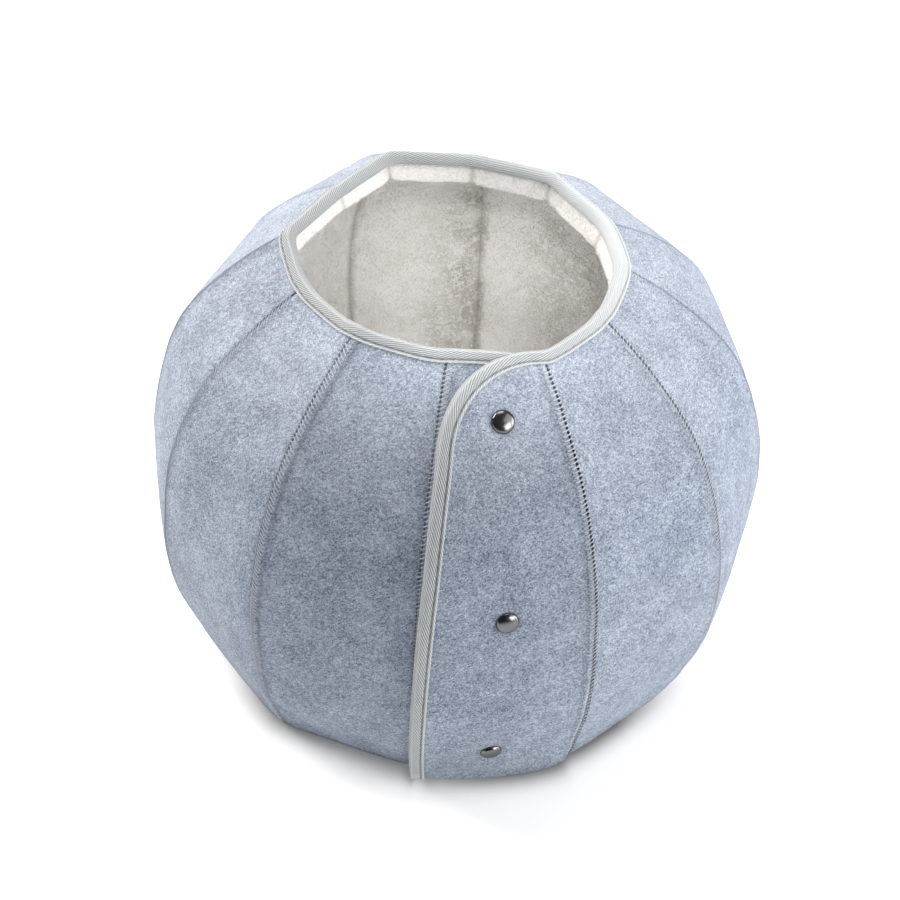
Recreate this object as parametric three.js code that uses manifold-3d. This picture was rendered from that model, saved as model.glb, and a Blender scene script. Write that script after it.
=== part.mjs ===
// Round pet bed: a squat ball of felt gores, lined with puffy plush and open at the top. It opens down
// its front, where the last gore, the underlap, runs on behind a bound flap that closes over it on three
// press studs. One folded tape binds the flap, the rim and the underlap in turn.
// Millimetres, +Z up, the front towards -Y, the origin on the floor under the middle of the base.
import * as THREE from 'three';
import Module from 'manifold-3d';

// Cloth
const FELT = 3;
const GAP = 0.3; // between pieces that touch
const PLUSH = 9; // the lining in the middle of a gore
const PLUSH_SEAM = 5.5; // the lining drawn in at a seam
const PLUSH_FLAP = 4.5; // the flap's lining, pressed against the underlap
const PLUSH_BOUND = 1.8; // the lining crushed under the tape
const PLUSH_ROLL = 10.5; // the roll of lining that stands up below the tape

// Tape, folded over the edge of felt and lining
const TAPE = 1;
const TAPE_LEAF = 8.7; // how far each half of the fold reaches in from the edge
const PAST_TAPE = TAPE_LEAF + 0.8; // where the cloth swells out again

// The ball: half of its section through the middle, from the floor to the rim
const MERIDIAN = [
  { r: 199.4, z: 0 },
  { r: 204.3, z: 18 },
  { r: 213.4, z: 60 },
  { r: 215, z: 120 },
  { r: 204, z: 180 },
  { r: 179.3, z: 234 },
  { r: 137.4, z: 276 },
  { r: 101, z: 300 },
];
const RIM = MERIDIAN.at(-1);
const LEAN = 4.7; // how far the mouth leans towards +X

// Seams, counter-clockwise from above, from the one that hangs the flap to the one behind its free edge.
// Each pulls its own way: turn is its direction in degrees, the rim is uneven from seam to seam, and the
// seam behind the flap's free edge is drawn in at its foot.
const SEAMS = [
  { turn: -65.8, rimRadius: 107.1, rimHeight: 298.6 },
  { turn: -35.6, rimRadius: 97.9, rimHeight: 295 },
  { turn: -5.9, rimRadius: 95.7, rimHeight: 295.8 },
  { turn: 24.3, rimRadius: 96.5, rimHeight: 290.3 },
  { turn: 56.5, rimRadius: 97.6, rimHeight: 296.6 },
  { turn: 88.6, rimRadius: 98.3, rimHeight: 296.9 },
  { turn: 120, rimRadius: 106, rimHeight: 303.4 },
  { turn: 144.9, rimRadius: 99, rimHeight: 303.5 },
  { turn: 180.3, rimRadius: 112.6, rimHeight: 309.5 },
  { turn: 203.6, rimRadius: 107.4, rimHeight: 300.8 },
  { turn: 233.2, rimRadius: 107.8, rimHeight: 305.9 },
  { turn: 263.4, rimRadius: 99.3, rimHeight: 299.5, foot: 5 },
];
const LAST = SEAMS.length - 1; // the panel of the underlap and the flap
const FOOT_HEIGHT = 80; // how far up a drawn-in foot reaches
const CROWN = { floor: 1.8, waist: 1.3 }; // how far a gore stands out between its seams
const RIM_SAG = 2.5; // how far the rim dips between its seams

// Flap and underlap, two leaves over the same panel
const STEP = 10; // from the flap's face in to the underlap's
const FLAP_BULGE = { floor: 7.5, rim: 2 };
const FLAP_FLARE = { out: 6, height: 60 }; // how its foot stands out beside its own seam
const FLAP_RAISE = 10; // how far the flap's free corner ends above the floor
const FLAP_EDGE = { floor: -1.3, waist: 4, waistAt: 210 }; // its free edge, to the right of the last seam
const FLAP_CORNER = { radius: 71.2, pastSeam: 5.6, from: 6, steps: 6 }; // its centre lies past the first seam
const UNDERLAP_SHORT = 6; // from the underlap's hidden edge to the first seam

// Press studs
const STUDS = [
  { q: 0.45, s: 54 },
  { q: 0.494, s: 177 },
  { q: 0.499, s: 300.5 },
];
const CAP = { radius: 7.25, height: 3.2, lip: 0.8 };
const SOCKET = { radius: 5, bore: 2.2, hole: 5.6 };
const BALL = { radius: 5, post: 1.9, flange: 0.9 };
const STUD_SIDES = 14;
const STUD_GAP = 0.8; // between a hidden half and the felt, which curves under it

const BASE_BEVEL = 3;

const FINISHES = {
  felt: { color: '#a6b2c5', roughness: 0.95, metalness: 0 },
  plush: { color: '#dad6cf', roughness: 1, metalness: 0 },
  tape: { color: '#cfd3d6', roughness: 0.8, metalness: 0 },
  metal: { color: '#77756f', roughness: 0.25, metalness: 1 },
};

const meridian = new THREE.CatmullRomCurve3(MERIDIAN.map(({ r, z }) => new THREE.Vector3(r, 0, z)));
meridian.arcLengthDivisions = 800;
const LENGTH = meridian.getLength();

// Distances up the wall, from the floor to the rim, where every piece of cloth has a row of corners
const LOWER_ROWS = [0, 22, 45, 100, 150, 196, 230, 256, 278, 299];
const BELOW_RIM = [30, 19, 13, PAST_TAPE, 0];
const ROWS = [...LOWER_ROWS, ...BELOW_RIM.map((distance) => LENGTH - distance)];
const PLUSH_ROWS = [
  { fromRim: 0, thick: PLUSH_BOUND },
  { fromRim: PAST_TAPE, thick: PLUSH_BOUND },
  { fromRim: 13, thick: 8.5 },
  { fromRim: 19, thick: PLUSH_ROLL },
  { fromRim: 30, thick: PLUSH },
];
const PLUSH_FLOOR = 4; // the lining stops this far up the wall, on the felt of the base
const SHOULDER = 0.2; // the share of a gore's width over which it rises from its seam
const GORE_COLUMNS = [0, SHOULDER, 1 - SHOULDER, 1];
const UNDERLAP_COLUMNS = [0.22, 0.44, 0.66]; // between its seam and its hidden edge
const FLAP_COLUMNS = [0, 0.16, 0.44, 0.72, 0.9, 1]; // from its tape to its seam

// 0 on the seams, 1 over the flat middle of a gore
function plateau(q) {
  return THREE.MathUtils.clamp(Math.min(q, 1 - q) / SHOULDER, 0, 1);
}

// The wall's section at each row: its radius and height, and its outward normal
const SECTION = ROWS.map((s) => {
  const { x: r, z } = meridian.getPointAt(s / LENGTH);
  const along = meridian.getTangentAt(s / LENGTH);
  return { s, r, z, outR: along.z, outZ: -along.x };
});

// The section s up from the floor, straight between its rows and on past the rim
function sectionAt(s) {
  const i = Math.max(1, s < LENGTH ? SECTION.findIndex((row) => row.s > s) : SECTION.length - 1);
  const [a, b] = SECTION.slice(i - 1, i + 1);
  const between = (key) => THREE.MathUtils.mapLinear(s, a.s, b.s, a[key], b[key]);
  return { r: between('r'), z: between('z'), outR: between('outR'), outZ: between('outZ') };
}

function seamPoint(k, s, depth) {
  const seam = SEAMS[k % SEAMS.length];
  const { r, z, outR, outZ } = sectionAt(s);
  const up = z / RIM.z;
  const drawnIn = (seam.foot ?? 0) * Math.max(0, 1 - z / FOOT_HEIGHT) ** 2;
  const radius = r + (seam.rimRadius - RIM.r) * up ** 3 - drawnIn - depth * outR;
  const height = z + (seam.rimHeight - RIM.z) * up ** 3 - depth * outZ;
  const turn = THREE.MathUtils.degToRad(seam.turn);
  const x = radius * Math.cos(turn) + LEAN * up ** 2;
  return new THREE.Vector3(x, radius * Math.sin(turn), Math.max(0, height));
}

// A point of panel k: q across from its seam 0 to its seam 1, s up the wall, depth in from its face
function wallPoint(k, q, s, depth) {
  return seamPoint(k, s, depth).lerp(seamPoint(k + 1, s, depth), q);
}

function width(k, s) {
  return seamPoint(k, s, 0).distanceTo(seamPoint(k + 1, s, 0));
}

const gorePoint = (k) => (q, s, depth) => {
  const up = s / LENGTH;
  const out = CROWN.floor * (1 - up) ** 3 + CROWN.waist * Math.sin(Math.PI * up);
  return wallPoint(k, q, s - RIM_SAG * up * plateau(q), depth - out * plateau(q));
};

function bulge(q, s) {
  const amount = THREE.MathUtils.lerp(FLAP_BULGE.rim, FLAP_BULGE.floor, (1 - s / LENGTH) ** 2);
  return amount * 4 * q * (1 - q);
}

function flare(q, s) {
  return FLAP_FLARE.out * Math.max(0, 1 - s / FLAP_FLARE.height) ** 2 * Math.max(0, q) * (1 - q ** 20);
}

const flapPoint = (q, s, depth) =>
  wallPoint(LAST, q, s, depth - STEP * (1 - q) - bulge(q, s) - flare(q, s));
const underlapPoint = (q, s, depth) => wallPoint(LAST, q, s, depth + STEP * q - bulge(q, s));

// A closed solid from its corners and its triangles, seen counter-clockwise from outside
function solid(points, triangles) {
  const geometry = new THREE.BufferGeometry().setFromPoints(points);
  geometry.setIndex(triangles.flat());
  return geometry;
}

// A sheet of cloth over patches of rows of corners { q, s, front, back }, front and back being its depths
function cloth(patches, point) {
  const corners = [];
  const numbers = new Map();
  const numberOf = (corner) => {
    const key = `${corner.q.toFixed(5)} ${corner.s.toFixed(3)}`;
    if (!numbers.has(key)) numbers.set(key, corners.push(corner) - 1);
    return numbers.get(key);
  };
  const face = [];
  for (const rows of patches) {
    for (let i = 1; i < rows.length; i++) {
      for (let j = 1; j < rows[i].length; j++) {
        const quad = [rows[i - 1][j - 1], rows[i - 1][j], rows[i][j], rows[i][j - 1]];
        const [a, b, c, d] = quad.map(numberOf);
        face.push([a, b, c], [a, c, d]);
      }
    }
  }
  const front = face.filter(([a, b, c]) => a !== b && b !== c && c !== a);
  const open = new Map();
  for (const [a, b, c] of front) {
    for (const [i, j] of [[a, b], [b, c], [c, a]]) {
      if (!open.delete(`${j} ${i}`)) open.set(`${i} ${j}`, [i, j]);
    }
  }
  const n = corners.length;
  const back = front.map(([a, b, c]) => [a + n, c + n, b + n]);
  const edge = [...open.values()].flatMap(([i, j]) => [[i + n, j + n, j], [i + n, j, i]]);
  const layer = (side) => corners.map((corner) => point(corner.q, corner.s, corner[side]));
  return solid([...layer('front'), ...layer('back')], [...front, ...back, ...edge]);
}

// Keeps a corner half a gap off the seam on either side of panel k
function clearOfSeams(k, q, s) {
  const inset = GAP / 2 / width(k, s);
  return THREE.MathUtils.clamp(q, inset, 1 - inset);
}

function plushThickness(fromRim) {
  const i = PLUSH_ROWS.findIndex((row) => row.fromRim >= fromRim - 1e-6);
  if (i <= 0) return i < 0 ? PLUSH : PLUSH_BOUND;
  const [a, b] = [PLUSH_ROWS[i - 1], PLUSH_ROWS[i]];
  return THREE.MathUtils.mapLinear(fromRim, a.fromRim, b.fromRim, a.thick, b.thick);
}

function feltCorner(q, s) {
  return { q, s, front: 0, back: FELT };
}

function plushCorner(q, s, thick) {
  return { q, s, front: FELT + GAP, back: FELT + GAP + thick };
}

function feltGore(k) {
  const rows = ROWS.map((s) => GORE_COLUMNS.map((q) => feltCorner(clearOfSeams(k, q, s), s)));
  return cloth([rows], gorePoint(k));
}

function plushGore(k) {
  const rows = ROWS.map((row) => {
    const s = Math.max(row, PLUSH_FLOOR);
    const full = plushThickness(LENGTH - s);
    return GORE_COLUMNS.map((q) => {
      const thick = THREE.MathUtils.lerp(Math.min(full, PLUSH_SEAM), full, plateau(q));
      return plushCorner(clearOfSeams(k, q, s), s, thick);
    });
  });
  return cloth([rows], gorePoint(k));
}

// The underlap's hidden edge, or a line set in from it
function underlapEdge(s, inset = 0) {
  return 1 - (UNDERLAP_SHORT + inset) / width(LAST, s);
}

function underlapColumns(s) {
  return [clearOfSeams(LAST, 0, s), ...UNDERLAP_COLUMNS, underlapEdge(s, PAST_TAPE), underlapEdge(s)];
}

function feltUnderlap() {
  return cloth([ROWS.map((s) => underlapColumns(s).map((q) => feltCorner(q, s)))], underlapPoint);
}

function plushUnderlap() {
  const rows = ROWS.map((row) => {
    const s = Math.max(row, PLUSH_FLOOR);
    const full = plushThickness(LENGTH - s);
    const thick = [PLUSH_SEAM, PLUSH, PLUSH, PLUSH, PLUSH_BOUND, PLUSH_BOUND];
    return underlapColumns(s).map((q, j) => plushCorner(q, s, Math.min(full, thick[j])));
  });
  return cloth([rows], underlapPoint);
}

// The flap's outline from its free corner on the floor, up and round to the first seam at the rim. Each
// station is a place on the edge with one that is set in from it.
function flapStations(inset) {
  const { radius, pastSeam, from, steps } = FLAP_CORNER;
  const below = Math.sqrt(radius ** 2 - pastSeam ** 2);
  const centre = { x: width(LAST, LENGTH) / 2 + pastSeam, s: LENGTH - below };
  const onArc = (r, angle) => {
    const s = centre.s + r * Math.sin(angle);
    return { q: 0.5 + (centre.x - r * Math.cos(angle)) / width(LAST, s), s };
  };
  const onSide = (s, across) => {
    const { floor, waist, waistAt } = FLAP_EDGE;
    const fromSeam = THREE.MathUtils.lerp(floor, waist, Math.min(1, s / waistAt));
    return offTheFloor({ q: (fromSeam + across) / width(LAST, s), s });
  };
  const start = THREE.MathUtils.degToRad(from);
  const top = Math.acos(pastSeam / radius);
  const sideRows = ROWS.filter((s) => s < centre.s);
  const stations = sideRows.map((s) => ({ edge: onSide(s, 0), inner: onSide(s, inset) }));
  for (let i = 0; i < steps; i++) {
    const angle = THREE.MathUtils.lerp(start, top, i / steps);
    stations.push({ edge: onArc(radius, angle), inner: onArc(radius - inset, angle) });
  }
  stations.push({ edge: { q: 1, s: LENGTH }, inner: { q: 1, s: LENGTH - inset } });
  return stations;
}

// The flap's lower edge climbs from the first seam to its free corner
function offTheFloor({ q, s }) {
  return { q, s: Math.max(s, FLAP_RAISE * (1 - q * q)) };
}

function flapPatches(corner) {
  const stations = flapStations(PAST_TAPE);
  const bound = stations.map(({ edge, inner }) => [corner(edge, 0), corner(inner, 0)]);
  const inside = stations.map(({ inner }) =>
    FLAP_COLUMNS.map((share) => {
      const q = THREE.MathUtils.lerp(inner.q, 1, share);
      return corner(offTheFloor({ q, s: share && inner.s < FLAP_RAISE ? 0 : inner.s }), share);
    }),
  );
  return [bound, inside];
}

function feltFlap() {
  return cloth(flapPatches(({ q, s }) => feltCorner(Math.min(q, clearOfSeams(LAST, 1, s)), s)), flapPoint);
}

function plushFlap() {
  const corner = ({ q, s }, share) => {
    const thick = share > 0 ? Math.min(PLUSH_FLAP, plushThickness(LENGTH - s)) : PLUSH_BOUND;
    return plushCorner(Math.min(q, clearOfSeams(LAST, 1, s)), Math.max(s, PLUSH_FLOOR), thick);
  };
  return cloth(flapPatches(corner), flapPoint);
}

// The tape's section: at is the distance from the leaf's selvedge towards the edge and on past it
const BOUND = FELT + GAP + PLUSH_BOUND + 0.2; // what it folds over, with a little room
const TAPE_SECTION = [
  { at: 0, depth: -GAP - TAPE },
  { at: TAPE_LEAF, depth: -GAP - TAPE },
  { at: TAPE_LEAF + GAP + TAPE, depth: TAPE },
  { at: TAPE_LEAF + GAP + TAPE, depth: BOUND - TAPE },
  { at: TAPE_LEAF, depth: BOUND + GAP + TAPE },
  { at: 0, depth: BOUND + GAP + TAPE },
  { at: 0, depth: BOUND + GAP },
  { at: TAPE_LEAF + GAP, depth: BOUND + GAP },
  { at: TAPE_LEAF + GAP, depth: -GAP },
  { at: 0, depth: -GAP },
];

function rimStation(q) {
  return { edge: { q, s: LENGTH }, inner: { q, s: LENGTH - TAPE_LEAF } };
}

function underlapStations() {
  const rim = UNDERLAP_COLUMNS.map(rimStation);
  const corner = {
    edge: { q: underlapEdge(LENGTH), s: LENGTH },
    inner: { q: underlapEdge(LENGTH - TAPE_LEAF, TAPE_LEAF), s: LENGTH - TAPE_LEAF },
  };
  const side = ROWS.filter((s) => s < LENGTH - 15)
    .reverse()
    .map((row) => {
      const s = Math.max(row, PLUSH_FLOOR + 1);
      return { edge: { q: underlapEdge(s), s }, inner: { q: underlapEdge(s, TAPE_LEAF), s } };
    });
  return [...rim, corner, ...side];
}

function bindingTape() {
  const runs = [{ point: flapPoint, stations: flapStations(TAPE_LEAF) }];
  for (let k = 0; k < LAST; k++) {
    runs.push({ point: gorePoint(k), stations: GORE_COLUMNS.slice(1).map(rimStation) });
  }
  runs.push({ point: underlapPoint, stations: underlapStations() });
  const { lerp } = THREE.MathUtils;
  const points = runs.flatMap(({ point, stations }) =>
    stations.flatMap(({ edge, inner }) =>
      TAPE_SECTION.map(({ at, depth }) => {
        const share = at / TAPE_LEAF;
        return point(lerp(inner.q, edge.q, share), lerp(inner.s, edge.s, share), depth);
      }),
    ),
  );
  const n = TAPE_SECTION.length;
  const last = points.length - n;
  const outline = TAPE_SECTION.map(({ at, depth }) => new THREE.Vector2(at, depth));
  const end = THREE.ShapeUtils.triangulateShape(outline, []);
  const triangles = [...end, ...end.map(([a, b, c]) => [last + a, last + c, last + b])];
  for (let start = 0; start < last; start += n) {
    for (let i = 0; i < n; i++) {
      const next = (i + 1) % n;
      const [a, b] = [start + i, start + next];
      const inward = TAPE_SECTION[next].at < TAPE_SECTION[i].at; // split as the cloth beside it is
      if (inward) triangles.push([a, a + n, b], [b, a + n, b + n]);
      else triangles.push([a, a + n, b + n], [a, b + n, b]);
    }
  }
  return solid(points, triangles);
}

// The base lies inside the wall, on the floor: its outline is depth in from the wall's face
function baseOutline(depth) {
  const corners = [];
  for (let k = 0; k < LAST; k++) {
    corners.push(...GORE_COLUMNS.slice(0, -1).map((q) => gorePoint(k)(q, 0, depth)));
  }
  corners.push(underlapPoint(0, 0, depth), underlapPoint(1, 0, depth));
  return new THREE.Shape(corners.map((p) => new THREE.Vector2(p.x, p.y)));
}

function baseFelt() {
  return new THREE.ExtrudeGeometry(baseOutline(FELT + GAP), { depth: FELT, bevelEnabled: false });
}

function basePlush() {
  const outline = baseOutline(FELT + GAP + PLUSH + 2 * GAP + BASE_BEVEL);
  const pad = new THREE.ExtrudeGeometry(outline, {
    depth: PLUSH - 2 * BASE_BEVEL,
    bevelThickness: BASE_BEVEL,
    bevelSize: BASE_BEVEL,
    bevelSegments: 1,
  });
  return pad.translate(0, 0, FELT + GAP + BASE_BEVEL);
}

// Puts a turned piece, modelled upright along +Z from the felt's face, on the flap at a stud
function onFlap(geometry, { q, s }) {
  const face = flapPoint(q, s, 0);
  const across = flapPoint(q + 0.05, s, 0).sub(flapPoint(q - 0.05, s, 0));
  const up = flapPoint(q, s + 5, 0).sub(flapPoint(q, s - 5, 0));
  const out = across.cross(up).normalize();
  geometry.applyQuaternion(new THREE.Quaternion().setFromUnitVectors(new THREE.Vector3(0, 0, 1), out));
  return geometry.translate(face.x, face.y, face.z);
}

// A turned piece about +Z, from a profile of [radius, height]
function turned(profile) {
  const lathe = new THREE.LatheGeometry(profile.map(([r, z]) => new THREE.Vector2(r, z)), STUD_SIDES);
  return lathe.rotateX(Math.PI / 2);
}

function studCap(stud) {
  const { radius, height, lip } = CAP;
  const crown = (share) => [radius * share, lip + (height - lip) * Math.sqrt(1 - share ** 2)];
  const profile = [[0, 0], [radius, 0], [radius, lip], ...[0.85, 0.6, 0.3, 0].map(crown)];
  return onFlap(turned(profile).translate(0, 0, GAP), stud);
}

function studSocket(stud) {
  const [top, foot] = [-FELT - STUD_GAP, STUD_GAP + BALL.flange + GAP - STEP];
  const { radius, bore } = SOCKET;
  return onFlap(turned([[bore, foot], [radius, foot], [radius, top], [bore, top], [bore, foot]]), stud);
}

function studBall(stud) {
  const { radius, post, flange } = BALL;
  const [foot, tip] = [STUD_GAP - STEP, -FELT - STUD_GAP];
  const step = foot + flange;
  const profile = [[0, foot], [radius, foot], [radius, step], [post, step], [post, tip], [0, tip]];
  return onFlap(turned(profile), stud);
}

const wasm = await Module();
wasm.setup();

function welded(geometry) {
  const numbers = new Map();
  const vertices = [];
  const { position } = geometry.attributes;
  const order = geometry.index ? [...geometry.index.array] : [...Array(position.count).keys()];
  const triangles = order.map((i) => {
    const p = [position.getX(i), position.getY(i), position.getZ(i)];
    const key = p.map((x) => x.toFixed(4)).join(' ');
    if (!numbers.has(key)) numbers.set(key, vertices.push(p) - 1);
    return numbers.get(key);
  });
  const vertProperties = new Float32Array(vertices.flat());
  const triVerts = new Uint32Array(triangles);
  return new wasm.Manifold(new wasm.Mesh({ numProp: 3, vertProperties, triVerts }));
}

// The lining is punched out where each socket is riveted to the felt
function punched(geometry) {
  let lining = welded(geometry);
  for (const stud of STUDS) {
    const { hole } = SOCKET;
    const punch = turned([[0, -STEP - FELT], [hole, -STEP - FELT], [hole, 0], [0, 0]]);
    lining = lining.subtract(welded(onFlap(punch, stud)));
  }
  const { vertProperties, triVerts } = lining.getMesh();
  const result = new THREE.BufferGeometry();
  result.setAttribute('position', new THREE.BufferAttribute(vertProperties, 3));
  result.setIndex(new THREE.BufferAttribute(triVerts, 1));
  return result;
}

const bed = new THREE.Group();

function add(name, geometry, finish) {
  const mesh = new THREE.Mesh(geometry, new THREE.MeshStandardMaterial(FINISHES[finish]));
  mesh.name = name;
  bed.add(mesh);
}

add('base_felt', baseFelt(), 'felt');
add('base_plush', basePlush(), 'plush');
for (let k = 0; k < LAST; k++) {
  add(`felt_gore_${k + 1}`, feltGore(k), 'felt');
  add(`plush_gore_${k + 1}`, plushGore(k), 'plush');
}
add('felt_underlap', feltUnderlap(), 'felt');
add('plush_underlap', plushUnderlap(), 'plush');
add('felt_flap', feltFlap(), 'felt');
add('plush_flap', punched(plushFlap()), 'plush');
add('binding_tape', bindingTape(), 'tape');
STUDS.forEach((stud, i) => {
  add(`stud_cap_${i + 1}`, studCap(stud), 'metal');
  add(`stud_socket_${i + 1}`, studSocket(stud), 'metal');
  add(`stud_ball_${i + 1}`, studBall(stud), 'metal');
});

export default bed;
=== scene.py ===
"""A round felt pet bed: a squat ball of felt gores with a plush lining and an open top.

The front panel is double: a bound flap closes over an underlap with three press studs. Shapes
are surfaces worked out with numpy, in millimetres, and become metres where a mesh is made. +Z is
up, the front towards -Y.
"""

import math

import bpy
import numpy as np
from mathutils import Euler, Matrix, Vector


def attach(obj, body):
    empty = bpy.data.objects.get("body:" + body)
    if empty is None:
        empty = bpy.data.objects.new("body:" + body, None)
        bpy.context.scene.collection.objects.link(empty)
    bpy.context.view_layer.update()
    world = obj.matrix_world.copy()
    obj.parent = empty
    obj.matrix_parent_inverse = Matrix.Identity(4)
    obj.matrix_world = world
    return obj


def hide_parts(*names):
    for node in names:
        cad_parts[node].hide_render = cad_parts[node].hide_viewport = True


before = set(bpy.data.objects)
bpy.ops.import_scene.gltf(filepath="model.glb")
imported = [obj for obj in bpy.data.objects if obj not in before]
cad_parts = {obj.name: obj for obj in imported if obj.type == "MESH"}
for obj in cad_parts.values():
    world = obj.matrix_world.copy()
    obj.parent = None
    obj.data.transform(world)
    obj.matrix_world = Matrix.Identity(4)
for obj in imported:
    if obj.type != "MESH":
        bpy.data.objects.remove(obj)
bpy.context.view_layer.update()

MM = 0.001
RNG = np.random.default_rng(12)

# ---- sizes, in millimetres

FELT = 3.0
GAP = 0.3  # between pieces that touch
PLUSH = 9.0  # the lining in the middle of a gore
PLUSH_SEAM = 6.2  # drawn in at a seam
PLUSH_FLAP = 4.5  # pressed between the front panel's leaves
PLUSH_BOUND = 2.0  # crushed under the tape
PLUSH_ROLL = 15.5  # the roll just below the tape
SEAM_PINCH = 7.5  # how far from a seam the lining is drawn in
TAPE = 1.0
TAPE_LEAF = 8.7  # how far each half of the folded tape reaches in from the edge
PAST_TAPE = (0.3, 4.2)  # from the tape's selvedge, where the lining swells out again

# The ball's section, radius and height, from the floor to the rim
MERIDIAN = [(199.4, 0), (204.3, 18), (213.4, 60), (215, 120)]
MERIDIAN = np.array(MERIDIAN + [(204, 180), (179.3, 234), (137.4, 276), (101, 300)])
RIM_RADIUS, RIM_HEIGHT = MERIDIAN[-1]
LEAN = 4.7  # how far the rim leans towards +X

# Seams, counter-clockwise from above: direction in degrees, and radius and height at the rim. The
# last one is drawn in at its foot.
SEAMS = np.array(
    [
        (-65.8, 107.1, 298.6),
        (-35.6, 97.9, 295.0),
        (-5.9, 95.7, 295.8),
        (24.3, 96.5, 290.3),
        (56.5, 97.6, 296.6),
        (88.6, 98.3, 296.9),
        (120.0, 106.0, 303.4),
        (144.9, 99.0, 303.5),
        (180.3, 112.6, 309.5),
        (203.6, 107.4, 300.8),
        (233.2, 107.8, 305.9),
        (263.4, 99.3, 299.5),
    ]
)
COUNT = len(SEAMS)
LAST = COUNT - 1
BACK_SEAM = 5  # the last seam, counted from the flap, whose stitches lie on its flap side
LAST_FOOT, FOOT_HEIGHT = 5.0, 80.0
CROWN_FLOOR, CROWN_WAIST = 3.0, 1.5  # how far a gore swells between its seams
RIM_SAG = 2.5  # and how far its rim sags
UNEVEN = 0.9

# The two leaves of the front panel
STEP = 10.0
FLAP_BULGE_FLOOR, FLAP_BULGE_RIM = 7.5, 2.0
FLAP_FLARE, FLARE_HEIGHT = 6.0, 60.0
FLAP_RAISE = 10.0
FLAP_EVEN = 3 * FLAP_RAISE
FLAP_EDGE_FLOOR, FLAP_EDGE_WAIST, FLAP_WAIST = -1.3, 4.0, 210.0
FLAP_RADIUS, FLAP_PAST_SEAM, FLAP_ARC_FROM = 71.2, 5.6, 6.0
UNDERLAP_SHORT = 6.0
UNDERLAP_CORNER = 12.0

# The lining hangs a little turned in the ball: how far in degrees, the share of it at each seam,
# and how far it stands off the wall there. CRUSHED is its most crushed seam.
TURNED, STAND_OFF = -4.0, 3.8
HANGS_BELOW = (20, 75)  # below the rim, where it leaves the wall's own line
HANGS_ABOVE = 25  # above the floor, where it is back on it
TURNED_SHARE = [0, 0.35, 0.7, 1, 1, 0.75, 1, 1, 0.9, 0.6, 0.3, 0]
CRUSHED = 5

# How far at each seam the lining's roll is fuller, and creeps over the tape
FULLER = [0, 0.5, 1, 1, 0.7, 0.2, 0, 0, 0, 0, 0, 0]
ROLL_MORE, ROLL_NEARER = 2.5, 5.4

# Press studs: across the flap and up it
STUDS = [(0.45, 54.0), (0.494, 177.0), (0.499, 300.5)]
STUD_DENT, STUD_DENT_WIDE = 0.9, 9

# Stitches: along a seam, and from the join to the needle holes
STITCH_PITCH = 2.85
STITCH_FROM = 6.0
STITCH_SLOPE = 0.42
BAND, BAND_SHADE = 4.6, 1.6
THREAD_SUNK, THREAD_ARCH = 0.45, 1.05
THREAD_STRAY = 0.12, 0.1, 0.2  # along the seam, and at its start and end
TAPE_STITCH_PITCH = 2.9
TAPE_STITCH_AT = 2.3
RIB_PITCH = 1.22  # from yarn to yarn of the twill

# How each seam is sewn: how dark its holes are painted, as shade, low down and near the rim, how
# dark the painted shade along the far edge of its band is, and its threads' slope, radius, start
# past the join, and how far they are lost in the felt
SEWN = np.array(
    [
        (1.0, 0.75, 0.22, 0.42, 0.36, 2.0, 0),
        (0.45, 0.6, 0.1, 0.42, 0.32, 1.6, 0.1),
        *2 * [(0.1, 0.12, 0, 0.42, 0.24, 1.2, 0.85)],
        *2 * [(0.35, 0.35, 0, 0.42, 0.3, 1.2, 0.2)],
        *2 * [(0.35, 0.35, 0, -0.42, 0.3, 1.2, 0.2)],
        (0.15, 0.15, 0.22, -0.8, 0.4, 0.3, 0.75),
        (0.15, 0.85, 0.2, -0.8, 0.4, 0.3, 0.75),
        (0.3, 0.35, 0.36, -0.8, 0.42, 0.3, 0.25),
        (0.14, 0.85, 0.12, 0.42, 0.3, 1.2, 0.2),
    ]
)

HOLES_CHANGE = (62, 22)  # below the rim, where the low holes give way to the high ones

# The seam that hangs the flap, near the floor: the height of its threads' arches as a share of that
# further up, how far beside the join its holes show, as the flap's foot hides the join, and how
# much longer its stitches are there, as the share by which fewer fit in. Each has the heights over
# which it changes.
ARCH_LOW, ARCH_CHANGE = [0.3] + LAST * [1], (60, 190)
HOLES_ASIDE, ASIDE_CHANGE = 1.35, (70, 190)
LONGER_LOW, LONGER_CHANGE = 0.4, (50, 200)


# ---- the wall


def catmull_rom(points, steps=80):
    """A smooth curve through the points: in each span a cubic whose end slopes come from the
    three chords about it, each weighted by the square root of its length, with the ends carried
    on straight."""
    ends = 2 * points[0] - points[1], 2 * points[-1] - points[-2]
    p = np.vstack([ends[0], points, ends[1]])
    knot = np.sqrt(np.linalg.norm(np.diff(p, axis=0), axis=1))
    u = np.linspace(0, 1, steps, endpoint=False)[:, None]
    spans = []
    for i in range(1, len(p) - 2):
        before, here, after = knot[i - 1 : i + 2]
        chord = (p[i + 1] - p[i]) / here
        about = (p[i + 1] - p[i - 1]) / (before + here), (p[i + 2] - p[i]) / (here + after)
        start = here * ((p[i] - p[i - 1]) / before - about[0] + chord)
        end = here * (chord - about[1] + (p[i + 2] - p[i + 1]) / after)
        bend = 3 * (p[i + 1] - p[i]) - 2 * start - end
        spans.append(p[i] + start * u + bend * u**2 + (2 * (p[i] - p[i + 1]) + start + end) * u**3)
    return np.vstack(spans + [points[-1:]])


def distances(line):
    """The way along a line of points to each of them."""
    return np.append(0, np.cumsum(np.linalg.norm(np.diff(line, axis=0), axis=1)))


CURVE = catmull_rom(MERIDIAN)
ALONG = distances(CURVE)
LENGTH = ALONG[-1]
SLOPE = np.gradient(CURVE, ALONG, axis=0)


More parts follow.
